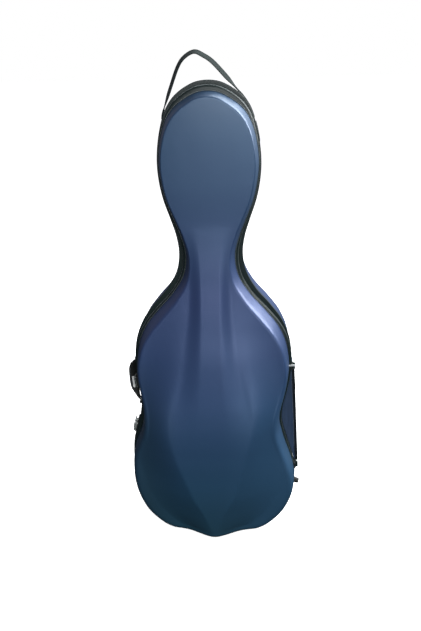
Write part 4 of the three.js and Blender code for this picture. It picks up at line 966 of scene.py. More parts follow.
# ================================================================ latches
def latch_pieces():
    for which, z in LATCH_Z.items():
        at, name = side_frame(z, -1, -LATCH_LIFT[which]), "latch_" + which
        metal = DARK_STEEL_MAT if which == "upper" else STEEL_MAT
        k = Piece(name + "_base_plate")
        k.add(plate(rrect(-21.4, 21.4, 3.1, 35.9, 3.6), 0, 1.4, 0.35), at)
        rows = []
        for h, g in ((1.0, 0), (4.6, 0.5), (5.9, 1.2), (6.35, 2.6)):
            rows.append([(x, y, h) for x, y in rrect(g - 11.9, 11.9 - g, 12.1 + g, 26.9 - g, 2.2)])
        k.add(rows_part(rows), at)
        for x in (-10.8, 10.8):
            pts = [(5.5, 0.8), (10.5, 0.8)] + [(8 + 2.65 * math.cos(a * RAD), 5 + 2.65 * math.sin(a * RAD)) for a in range(-10, 200, 21)]
            k.add(plate(pts, x - 0.78, x + 0.78, 0.2, 2, (1, 2, 0)), at)
        for x in (-17.6, 17.6):
            for y in (6.6, 31.6):
                k.add(dome((x, y, 1.35), (x, y, 9), 2.1, 0.85), at)
        screw_head(k, (0, 31.2, 1.4), (0, 0, 1), 2.8, at, 0.7)
        k.done("case", [name + "_base"], "steel", [metal, SLOT_MAT])

        k = Piece(name + "_lever_bar")
        rows = []
        for t in np.linspace(0, 1, 30):
            y = 9.3 + 27.0 * t
            zc = 8.62 + 0.42 * math.sin(min(1, t / 0.85) * pi) + (0.0 if t < 0.86 else 1.1 * ((t - 0.86) / 0.14) ** 2)
            half = 14.9 - 3.6 * smooth((t - 0.78) / 0.1) - (3.0 * ((t - 0.93) / 0.07) ** 2 if t > 0.93 else 0)
            rows.append([(x, y, zc + h - 0.5 * max(0, abs(x) / half - 0.88) / 0.12) for x, h in rrect(-half, half, -0.62, 0.62, 0.5, 3)])
        k.add(rows_part(rows), at)
        for x in (-14.2, 14.2):
            pts = [(8 + 2.95 * math.cos(a * RAD), 5 + 2.95 * math.sin(a * RAD)) for a in range(90, 280, 19)] + [(14, 3.3), (21, 4.4), (29, 7.0), (30, 8.4)]
            k.add(plate(pts, x - 0.7, x + 0.7, 0.25, 2, (1, 2, 0)), at)
        k.add(rbox(-9.2, 9.2, 13, 26.5, 8.9, 9.75, 0.4, 2), at)
        for y in (16.0, 19.75, 23.5):
            k.add(rbox(-7.4, 7.4, y - 0.6, y + 0.6, 9.5, 10.05, 0.25, 2), at)
        k.add(rod((-15.0, 8, 5), (15.0, 8, 5), 1.33), at)
        k.done(name + "_lever", [name + "_lever"], "steel", [metal])

        path = bent([(-13.4, 14, 4.6), (-16.9, 14, 4.6), (-16.9, -10, 4.6), (16.9, -10, 4.6), (16.9, 14, 4.6), (13.4, 14, 4.6)], 2.8, 7)
        Piece(name + "_bail_wire").add(tube(path, 1.0, 14), at).done(name + "_bail", [name + "_bail"], "steel", [STEEL_MAT])

        k = Piece(name + "_keeper_hook")
        k.add(plate(rrect(-15.4, 15.4, -13.3, -2.1, 1.8), -1.15, 0.3, 0.3), at)
        pts = [(-9.6, 0.1), (-2.6, 0.1), (-3.4, 1.2), (-4.6, 1.95), (-5.9, 2.3), (-6.4, 3.2), (-6.4, 5.8), (-6.9, 6.35), (-7.8, 6.35), (-8.4, 5.8), (-8.4, 1.6), (-8.8, 0.8)]
        k.add(plate(pts, -13.9, 13.9, 0.35, 2, (1, 2, 0)), at)
        for x in (-11.6, 11.6):
            k.add(dome((x, -11.2, 0.25), (x, -11.2, 9), 1.5, 0.6), at)
        k.done("lid", [name + "_keeper"], "steel", [metal])
        # rubber packing that fills the space between the plates and the curved edge
        for part, body, ya, yb, xm, gap in (("base", "case", 4.0, 35.0, 20.6, 0.1), ("keeper", "lid", -12.6, -3.4, 14.8, 1.25)):
            rows = []
            for x in np.linspace(-xm, xm, 15):
                p = at(np.array([[x, 0, 0]]))[0]
                s = settle(outline_at(chord_at_z(p[2])), -1)
                down = lambda y: -(max(float(s["seam"][0]) if y < 0 else 1.6, 1.6) if y < 14 else BACK_IN + 1.0)
                own = lambda y, h: (np.array([float(s["x"][0]) + float(s["nx"][0]) * h, y, float(s["z"][0]) + float(s["nz"][0]) * h]))
                ys = np.linspace(ya, yb, 9)
                row = [at(np.array([[x, y, -gap]]))[0] for y in ys] + [own(y, down(y)) for y in ys[::-1]]
                rows.append(row)
            Piece(name + "_" + part + "_packing").add(rows_part(rows)).done(body, [], "rubber", [RUBBER_MAT])


# ================================================================ carry handle
def handle_pieces():
    axis = unit(HANDLE_HIGH - HANDLE_LOW)
    mid = (HANDLE_HIGH + HANDLE_LOW) / 2
    half = float(np.linalg.norm(HANDLE_HIGH - HANDLE_LOW)) / 2
    out = np.array([-math.cos(HANDLE_LEAN), math.sin(HANDLE_LEAN), 0])
    out = unit(out - axis * (out @ axis))
    at = axes_at(mid, out, np.cross(axis, out), axis)
    # centre line (reach, along) with half sizes along the reach and across it
    full = np.array([[0, -half + 5.4, 4.2, 5], [8, -half + 6.4, 4.4, 5.5], [18, -half + 11, 5, 7], [28, -half + 24, 6.6, 11], [36.6, -half + 42, 7.8, 14], [38.4, 0, 8, 14],
                     [34.9, half - 42, 7.8, 14], [25, half - 22, 6.6, 11], [15, half - 10.6, 5, 7], [7, half - 6.4, 4.4, 5.5], [0, half - 5.4, 4.2, 5]])
    c = catmull(full, 110)
    t = np.gradient(c[:, :2], axis=0)
    t /= np.linalg.norm(t, axis=1)[:, None]
    s = np.concatenate([[0], np.cumsum(np.linalg.norm(np.diff(c[:, :2], axis=0), axis=1))]) / 1.0
    k, n, body = Piece("carry_handle_grip"), 36, []
    w = np.arange(n) * 2 * pi / n
    for i in range(len(c)):
        r, a, p, q = c[i]
        pad = smooth((min(s[i], s[-1] - s[i]) - 34) / 6)      # the padded middle stands up from the arms
        p, q = p * (0.9 + 0.1 * pad), q * (0.86 + 0.13 * pad)
        ex = 2.6
        ca, sa = np.sign(np.cos(w)) * np.abs(np.cos(w)) ** (2 / ex), np.sign(np.sin(w)) * np.abs(np.sin(w)) ** (2 / ex)
        rib = 0.0 if pad < 0.95 else 0.22 * math.sin(s[i] * 2 * pi / 5.2)
        across = np.array([t[i, 1], 0, -t[i, 0]])
        body.append(np.array([r, 0, a]) + np.outer((p + rib) * ca, across) + np.outer((q + rib) * sa, (0, 1, 0)))
    k.add(rows_part(body), at, 0)
    for i in (next(j for j in range(len(c)) if s[j] > 33), next(j for j in range(len(c)) if s[j] > s[-1] - 34)):
        r, a, p, q = c[i]
        across = np.array([t[i, 1], 0, -t[i, 0]])
        loop = [np.array([r, 0, a]) + across * p * 1.0 * math.copysign(abs(math.cos(x)) ** 0.78, math.cos(x)) + np.array([0, q * 1.0 * math.copysign(abs(math.sin(x)) ** 0.78, math.sin(x)), 0]) for x in w]
        k.add(tube(loop, 1.0, 8, closed=True), at, 0)
    for end in (-1, 1):
        k.add(rod((0, 0, end * (half - 9)), (0, 0, end * (half + 5.4)), 2.55), at, 2)
    # seam stitched along both flat faces of the padded middle
    for face in (-1, 1):
        line, ups = [], []
        for i in range(len(c)):
            if 44 < s[i] < s[-1] - 44:
                r, a, p, q = c[i]
                line.append((r - t[i, 1] * p * 0.62, face * q * 0.93, a + t[i, 0] * p * 0.62))
                ups.append((0, face, 0))
        stitches(k, line, np.array(ups, float), 4.6, 3.2, 0.42, 1, at)
    k.done("side_handle", ["side_handle"], "rubber", [RUBBER_MAT, THREAD_GREY_MAT, STEEL_MAT], 45)
    # near-white plate: painted light, bright although the grip shades it
    k = Piece("carry_handle_bare_plate")
    bends = np.array([(r - 1.06 * p * math.cos(pi / 8) - 0.35, a) for r, a, p in ((25, -half + 24, 6.6), (36.0, -28, 7.8), (38.4, 0, 8), (34.9, half - 42, 7.8))])
    face_at = lambda a: float(np.interp(a, bends[:, 1], bends[:, 0]))
    rows = []
    for a in np.linspace(-33, 4, 39):
        cut = min(a + 33, 4 - a)
        w2 = 3.5 - (2.0 - math.sqrt(max(0, 4 - (2 - cut) ** 2)) if cut < 2 else 0)
        rows.append([(face_at(a) + x, y, a) for x, y in rrect(-1.2, 0.5, 6.5 - w2, 6.5 + w2, 0.45, 3)])
    k.add(rows_part(rows), at)
    for a in (-30.0, 1.0):
        k.add(dome((face_at(a) - 1.1, 6.5, a), (face_at(a) - 9, 6.5, a), 1.5, 0.6), at)
    k.done("side_handle", ["side_handle_plate"], "steel", [HANDLE_PLATE_PAINTED_LIGHT_MAT])
    for name, o, up, foot in (("side_handle_bracket_upper", HANDLE_HIGH, 1, 5.0), ("side_handle_bracket_lower", HANDLE_LOW, -1, 5.2)):
        ex = unit(np.array([axis[2], 0, -axis[0]]))
        here = axes_at(o, ex, (0, 1, 0), axis)
        k = Piece(name + "_block")
        lo, hi = (0.7, 8) if up > 0 else (-8, -0.7)
        k.add(rbox(-5.4, foot - 0.2, -5.9, 5.9, lo, hi, 1.6, 3), here)
        lo, hi = (0.7, 9.4) if up > 0 else (-9.4, -0.7)
        k.add(plate(rrect(-10.8, 18.8, lo, hi, 2.6), foot - 2, foot, 0.5, 2, (1, 2, 0)), here)
        for y in (-8.4, 10.6, 16.0):
            screw_head(k, (foot - 2, y, (lo + hi) / 2), (-1, 0, 0), 1.9, here, 0.5)
        k.done("case", [name], "rim_black", [RIM_MAT, SLOT_MAT])


# ================================================================ head strap and its anchors
STRAP_WAY = [[-124.6, 1264], [-120.6, 1282], [-111.7, 1307], [-96.7, 1347], [-77.5, 1394], [-60.1, 1417], [-34.3, 1430], [-10.8, 1421], [14.6, 1403.5], [51.8, 1364], [76.5, 1336.5], [91.9, 1320], [108.3, 1296.2], [118.6, 1273.0], [121.2, 1264]]


def band(piece, c, w, m, half, thick, at=None, mat=0):
    """Flat webbing: centres c, width directions w and face directions m."""
    sec = rrect(-1, 1, -1, 1, 0.0001, 1)
    rows, uvs = [], []
    s = np.concatenate([[0], np.cumsum(np.linalg.norm(np.diff(c, axis=0), axis=1))])
    half = np.broadcast_to(half, (len(c),))
    a = np.linspace(-1, 1, 17)
    prof = [(x, 1 - 0.35 * max(0, (abs(x) - 0.86) / 0.14) ** 2 + (0.16 if 0.8 < abs(x) < 0.93 else 0)) for x in a]
    ring_pts = prof + [(x, -h) for x, h in prof[::-1]]
    for i in range(len(c)):
        rows.append([c[i] + w[i] * x * half[i] + m[i] * h * thick for x, h in ring_pts])
        uvs += [(x * half[i] * 0.001, s[i] * 0.001) for x, h in ring_pts]
    piece.add(rows_part(rows), at, mat, np.array(uvs))


def strap_pieces():
    p = catmull([(x, STRAP_Y, z) for x, z in STRAP_WAY], 190)
    d = np.gradient(p, axis=0)
    d /= np.linalg.norm(d, axis=1)[:, None]
    k, W, M, L = Piece("head_strap_webbing"), [], [], len(p)
    for i in range(L):
        t = i / (L - 1)
        nn = unit((-d[i][2], 0, d[i][0]))
        turn = float(smooth((t - 0.03) / 0.14) * smooth((0.8 - t) / 0.1) * 22) * RAD
        W.append(np.array([0, math.cos(turn), 0]) + nn * math.sin(turn))
        M.append(nn * math.cos(turn) + np.array([0, -math.sin(turn), 0]))
    W, M = np.array(W), np.array(M)
    half = 12.5 - 5.3 * np.array([smooth(1 - min(i, L - 1 - i) / 5.0) for i in range(L)])
    band(k, p, W, M, half, 1.25)
    for side in (-1, 1):
        stitches(k, (p + W * side * 9.9 + M * 1.2)[6:-6], M[6:-6], 5.2, 3.6, 0.34, 1)
        stitches(k, (p + W * side * 9.9 - M * 1.2)[6:-6], -M[6:-6], 5.2, 3.6, 0.34, 1)
    k.done("case", ["head_strap"], "webbing", [WEB_MAT, THREAD_MAT], 50)
    for name, side in (("left", -1), ("right", 1)):
        k = Piece("head_strap_anchor_%s_patch" % name)
        us = np.linspace(chord_at_z(1254.6), chord_at_z(1203.4), 26)
        s = settle(outline_at(us), side)
        nrm = np.stack([s["nx"], 0 * s["nx"], s["nz"]], 1)
        mid = np.stack([s["x"], np.full(26, STRAP_Y), s["z"]], 1)
        c = mid - nrm * 0.65
        band(k, c, np.tile([0, 1.0, 0], (26, 1)), nrm, 13.3, 1.45)
        on = lambda u, y: np.array([np.interp(u, np.arange(26), (mid + nrm * 0.75)[:, 0]), y, np.interp(u, np.arange(26), (mid + nrm * 0.75)[:, 2])])
        box_x = [(2.5, 19.5), (2.5, 40.5), (22.5, 40.5), (22.5, 19.5), (2.5, 19.5), (22.5, 40.5)], [(2.5, 40.5), (22.5, 19.5)]
        for run in box_x:
            for (u0, y0), (u1, y1) in zip(run[:-1], run[1:]):
                line = np.array([on(u0 + (u1 - u0) * t, y0 + (y1 - y0) * t) for t in np.linspace(0, 1, 14)])
                stitches(k, line, nrm[12], 3.6, 2.6, 0.36, 1)
        k.done("case", ["head_strap_anchor_" + name], "webbing", [WEB_MAT, THREAD_GREY_MAT], 50)


# ================================================================ side pocket
def pocket_pieces():
    top, low, y0, y1 = POCKET["top"], POCKET["low"], POCKET["y0"], POCKET["y1"]
    outer = lambda z: POCKET["xTop"] + (POCKET["xLow"] - POCKET["xTop"]) * (top - z) / (top - low)

    def wall(z):
        s = settle(outline_at(chord_at_z(z)), 1)
        return float(s["x"][0] - s["nx"][0] * (BACK_IN - 2.2))

    rng = np.random.default_rng(7)
    puckers = [(rng.uniform(low + 20, top - 20), rng.uniform(9, 22), rng.uniform(-0.9, 0.9)) for _ in range(16)]
    rows, n = [], 17
    zs = np.concatenate([[low, low + 0.8], np.linspace(low + 2.5, top - 2.5, 96), [top - 0.8, top]])
    for z in zs:
        xw, xo = wall(z) + 0.2, outer(z) - 0.35
        xo = max(xo, xw + 1.5)
        e = smooth(min(z - low, top - z) / 30)
        end = min(1.0, min(z - low, top - z) / 2.5)
        row = []
        # front face from the case to the outer edge, outer face, back face, and the wall side
        for t in np.linspace(0, 1, n):
            sag = 2.3 * e * math.sin(pi * t) ** 0.8
            fold = sum(a * math.exp(-((z - zz - 26 * (t - 0.5)) / wd) ** 2) for zz, wd, a in puckers) * math.sin(pi * t) * 0.5
            row.append((xw + (xo - xw) * t, y0 + 0.3 + sag + max(fold, -0.2) + 1.2 * (1 - end), z))
        for t in np.linspace(0, 1, 23)[1:]:
            sag = 1.7 * e * math.sin(pi * t) * (1 - 0.5 * math.exp(-((t - 0.46) / 0.1) ** 2))
            fold = sum(a * math.exp(-((z - zz) / wd) ** 2) for zz, wd, a in puckers) * math.sin(pi * t) * 0.4
            row.append((xo - sag - max(fold, 0), y0 + 0.3 + (y1 - y0 - 0.6) * t, z))
        for t in np.linspace(1, 0, n)[1:]:
            sag = 2.3 * e * math.sin(pi * t) ** 0.8
            row.append((xw + (xo - xw) * t, y1 - 0.3 - sag - 1.2 * (1 - end), z))
        for t in np.linspace(1, 0, 9)[1:-1]:
            row.append((xw, y0 + 0.3 + (y1 - y0 - 0.6) * t, z))
        rows.append(row)
    k = Piece("side_pocket_bag").add(rows_part(rows), None, 0)
    # sewn hem lines beside the binding and the zip
    for y, off in ((y0 + 9.5, 1), (y0 + 26.5, 1), (y0 + 47.5, 1), (y1 - 6.0, 1)):
        t = (y - y0) / (y1 - y0)
        line = [(outer(z) - 0.35 - 1.7 * smooth(min(z - low, top - z) / 30) * math.sin(pi * t) * (1 - 0.5 * math.exp(-((t - 0.46) / 0.1) ** 2)), y, z) for z in np.linspace(low + 8, top - 8, 60)]
        stitches(k, line, (1, 0, 0), 5.0, 3.4, 0.34, 1)
    line = [(outer(z) - 6.4, y0 + 0.35 + 1.9 * smooth(min(z - low, top - z) / 30) * math.sin(pi * 0.8), z) for z in np.linspace(low + 60, top - 14, 60)]
    stitches(k, line, (0, -1, 0), 5.0, 3.4, 0.34, 2)
    bag = k.done("case", ["side_pocket"], "pocket_fabric", [POCKET_MAT, THREAD_MAT, THREAD_GREY_MAT], 40)
    # bound front edge: a folded tape with a round nose
    k, rows, uvs = Piece("pocket_edge_binding"), [], []
    for z in np.linspace(low + 1.6, top - 1.6, 90):
        xo = outer(z)
        sec = [(0.38, y0 + 5.3), (0.38, y0 - 0.15), (-4.8, y0 - 0.1), (-5.0, y0 - 0.7), (-4.5, y0 - 1.05), (0.5, y0 - 1.15), (2.2, y0 - 1.0), (2.9, y0 - 0.3), (3.15, y0 + 1.0), (3.1, y0 + 3.0), (2.4, y0 + 4.8), (1.4, y0 + 5.35)]
        rows.append([(xo + a, b, z) for a, b in sec])
        uvs += [(b * 0.001, z * 0.001) for a, b in sec]
    k.add(rows_part(rows), None, 0, np.array(uvs))
    stitches(k, [(outer(z) + 3.05, y0 + 2.6, z) for z in np.linspace(low + 6, top - 6, 60)], (1, 0, 0), 5.0, 3.2, 0.3, 1)
    k.done("case", ["pocket_binding_front"], "webbing", [BINDING_MAT, THREAD_MAT], 50)
    # zip: two tapes, a coil of teeth, end stops
    k = Piece("pocket_zip_tape")
    zm, zh = (top + low) / 2, 124
    yc = 54.0
    for a, b in ((47.1, yc - 1.7), (yc + 1.7, 60.9)):
        rows, uvs = [], []
        for z in np.linspace(zm - zh, zm + zh, 60):
            sec = rrect(0.42, 1.25, a, b, 0.3, 2)
            rows.append([(outer(z) + x, y, z) for x, y in sec])
            uvs += [(y * 0.001, z * 0.001) for x, y in sec]
        k.add(rows_part(rows), None, 0, np.array(uvs))
    for i in range(0, 118):
        z = zm - zh + 6 + i * 2.0
        y = yc + (0.75 if i % 2 else -0.75)
        k.add(rbox(outer(z) + 0.45, outer(z) + 1.5, y - 1.45, y + 1.45, z - 0.62, z + 0.62, 0.3, 1), None, 1)
    for z in (zm - zh + 3.5, zm + zh - 3.5):
        k.add(rbox(outer(z) + 0.4, outer(z) + 1.9, yc - 2.6, yc + 2.6, z - 1.4, z + 1.4, 0.35, 2), None, 2)
    k.done("case", ["pocket_zip"], "webbing", [BINDING_MAT, RIM_MAT, STEEL_MAT], 40)
    # slider with its pull
    slope = math.atan2(POCKET["xLow"] - POCKET["xTop"], top - low)
    at = axes_at((outer(zm), 0, zm), (math.cos(slope), 0, math.sin(slope)), (0, 1, 0), (-math.sin(slope), 0, math.cos(slope)))
    k = Piece("pocket_zip_slider")
    pts = [(49.8, 112), (58.2, 112), (58.4, 108.5), (56.6, 104.5), (56.6, 100.2), (51.4, 100.2), (51.4, 104.5), (49.6, 108.5)]
    k.add(plate(pts, 2.0, 3.1, 0.3, 2, (1, 2, 0)), at)
    k.add(tube(bent([(3.0, 54, 110.5), (4.6, 54, 110.0), (4.8, 54, 104.5), (3.0, 54, 103.5)], 1.2, 5), 0.75, 10), at)
    k.add(tube([(4.5 + 0.55 * math.cos(a), 54 + 2.0 * math.sin(a), 105.2 + 2.2 * math.cos(a)) for a in np.linspace(0, 2 * pi, 24, endpoint=False)], 0.42, 8, closed=True), at)
    k.add(plate(rrect(51.7, 56.3, 73, 103.4, 2.0), 4.25, 5.35, 0.4, 3, (1, 2, 0)), at)
    k.add(plate(rrect(52.9, 55.1, 77, 97, 1.0), 5.2, 5.6, 0.15, 2, (1, 2, 0)), at, 1)
    k.done("pocket_slider", ["pocket_slider"], "steel", [STEEL_MAT, RUBBER_MAT])


# ================================================================ feet and back rings
def foot_profile(r0, r1, h0, h1):
    """Rubber foot with three grooves and a bolt recess in its face."""
    h = h1 - h0
    rad = lambda t: r0 + (r1 - r0) * t
    out = [(0, h0), (rad(0) - 0.3, h0), (rad(0), h0 + 0.4)]
    for t in (0.30, 0.50, 0.70):
        out += [(rad(t - 0.05), h0 + h * (t - 0.05)), (rad(t) - 0.7, h0 + h * (t - 0.02)), (rad(t) - 0.7, h0 + h * (t + 0.02)), (rad(t + 0.05), h0 + h * (t + 0.05))]
    return out + [(rad(0.9), h0 + h * 0.9), (rad(1) - 0.3, h1 - 0.5), (rad(1) - 1.1, h1), (r1 * 0.52, h1), (r1 * 0.48, h1 - 0.4), (r1 * 0.46, h1 - 2.2), (0, h1 - 2.2)]


def foot_pieces():
    at = side_frame(143, 1, 0)
    k = Piece("side_foot_bumper")
    v, f = turned(foot_profile(10.7, 8.1, -2.1, 21.0), 40)
    k.add((v + np.array([0, 27, 0]), f), at, 0)
    screw_head(k, (0, 27, 18.9), (0, 0, 1), 3.0, at, 0.6)
    k.done("case", ["side_foot_lower"], "rubber", [RUBBER_MAT, SLOT_MAT, STEEL_MAT])
    for name, x, y, r, body in (("front_left", -85, -26.5, 9, "lid"), ("front_right", 85, -26.5, 9, "lid"), ("rear_left", -85, 62, 13, "case"), ("rear_right", 85, 62, 13, "case")):
        k = Piece("base_foot_%s_stud" % name)
        prof = [(0, 1.6), (r * 0.42, 1.6), (r * 0.46, 0.3), (r - 0.9, 0.0), (r - 0.1, 0.7), (r + 0.15, 3.0), (r - 0.45, 3.6), (r - 0.45, 4.3), (r + 0.35, 5.0), (r + 0.7, 10.6), (0, 10.6)]
        v, f = turned(prof, 40)
        k.add((v + np.array([x, y, 0]), f))
        k.done(body, ["base_foot_" + name], "rubber", [RUBBER_MAT])


def back_ring_pieces():
    for name, x, z in (("upper", 0, 1010), ("lower_left", -112, 170), ("lower_right", 112, 170)):
        y = float(back_depth(x, z))
        tilt = math.atan2(float(back_depth(x, z + 20)) - float(back_depth(x, z - 20)), 40)
        at = axes_at((x, y + 0.7, z), (1, 0, 0), (0, math.cos(tilt), -math.sin(tilt)), (0, math.sin(tilt), math.cos(tilt)))
        k = Piece("back_ring_%s_tab" % name)
        k.add(plate([(a, b) for a, b in rrect(-16.9, 16.9, -3.9, 25.9, 4.5)], 0, 1.5, 0.4, 3, (0, 2, 1)), at)
        k.add(ring((-11.8, 4.5, 0), (11.8, 4.5, 0), 4.3, 3.3), at)
        k.add(rbox(-11.8, 11.8, 1.0, 2.6, -4.2, 4.2, 0.4, 2), at)
        for a in (-11.0, 0.0, 11.0):
            k.add(dome((a, 1.45, 19.0), (a, 9, 19.0), 2.9 if a == 0 else 2.2, 1.3 if a == 0 else 0.9), at, 1)
        k.done("case", ["back_ring_tab_" + name], "rim_black", [RIM_MAT, STEEL_MAT])
        w = 16.5
        way = np.array([(-w, 4.5, -9), (-w * 0.72, 4.5, -22), (0, 4.5, -28), (w * 0.72, 4.5, -22), (w, 4.5, -9)])
        arc = catmull(way, 34)
        loop = np.concatenate([arc, bent([(w, 4.5, -8), (w, 4.5, 0), (-w, 4.5, 0), (-w, 4.5, -8)], 3.5, 6)])
        Piece("back_ring_%s_wire" % name).add(tube(loop, 2.15, 16, closed=True), at).done("back_ring_" + name, ["back_ring_" + name], "steel", [STEEL_MAT], 60)

# ================================================================ padded pieces inside
def box_part(x0, x1, y0, y1, z0, z1):
    return rows_part([[(x0, y0, z), (x1, y0, z), (x1, y1, z), (x0, y1, z)] for z in (z0, z1)])


def evaluated(ob):
    dg = bpy.context.evaluated_depsgraph_get()
    dg.update()
    return bpy.data.meshes.new_from_object(ob.evaluated_get(dg))


def coords(me):
    out = np.empty(len(me.vertices) * 3)
    me.vertices.foreach_get("co", out)
    return out.reshape(-1, 3)


def puffed(specs, voxel=0.0045, cap=0.0022):
    """Closed foam shapes blown up as cloth skins, all in one run; returns the meshes in case millimetres."""
    scene, work = bpy.context.scene, []
    for name, parts in specs.items():
        v, f, n = [], [], 0
        for p in parts:
            v.append(np.asarray(p[0], float))
            f += [[i + n for i in g] for g in p[1]]
            n += len(p[0])
        raw = raw_mesh(name + "_raw", np.concatenate(v) / 1000, f, sharp=0)
        m = raw.modifiers.new("even", "REMESH")
        m.mode, m.voxel_size = "VOXEL", voxel
        ob = link(bpy.data.objects.new(name + "_skin", evaluated(raw)))
        bpy.data.objects.remove(raw)
        start = coords(ob.data)
        c = ob.modifiers.new("skin", "CLOTH")
        c.settings.quality = 5
        c.settings.use_pressure = True
        c.settings.uniform_pressure_force = 4
        c.settings.effector_weights.gravity = 0
        c.collision_settings.use_collision = False
        c.point_cache.frame_start, c.point_cache.frame_end = 1, 20
        work.append((name, ob, start))
    for fr in range(1, 21):
        scene.frame_set(fr)
    out = {}
    for name, ob, start in work:
        me = evaluated(ob)
        move = coords(me) - start
        far = np.linalg.norm(move, axis=1)
        ob.modifiers.clear()
        ob.data.vertices.foreach_set("co", (start + move * (np.minimum(far, cap) / np.maximum(far, 1e-9))[:, None]).ravel())
        ob.data.update()
        s = ob.modifiers.new("fine", "SUBSURF")
        s.levels = s.render_levels = 1
        me = evaluated(ob)
        out[name] = (coords(me) * 1000, [list(p.vertices) for p in me.polygons])
        bpy.data.objects.remove(ob)
    scene.frame_set(1)
    return out


def piping(piece, skin, path, r=0.85, mat=1, closed=True):
    """Cord laid on the skin along a path that is dropped on its nearest surface."""
    tree = BVHTree.FromPolygons([tuple(p) for p in skin[0]], skin[1])
    pts = []
    for p in path:
        near, way, _, _ = tree.find_nearest(Vector(p))
        pts.append(np.array(near) - np.array(way) * r * 0.25)
    pts = np.array(pts)
    for _ in range(2):
        mid = (np.roll(pts, 1, 0) + np.roll(pts, -1, 0)) / 2
        pts = pts * 0.5 + mid * 0.5 if closed else np.concatenate([pts[:1], (pts * 0.5 + mid * 0.5)[1:-1], pts[-1:]])
    piece.add(tube(pts, r, 8, closed=closed), None, mat)


def way_round(corners, step=5.0):
    """Points along a closed polygon, evenly spaced."""
    c = np.array(list(corners) + [corners[0]], float)
    s = np.concatenate([[0], np.cumsum(np.linalg.norm(np.diff(c, axis=0), axis=1))])
    d = np.linspace(0, s[-1], max(12, int(s[-1] / step)), endpoint=False)
    return [np.array([np.interp(t, s, c[:, k]) for k in range(3)]) for t in d]


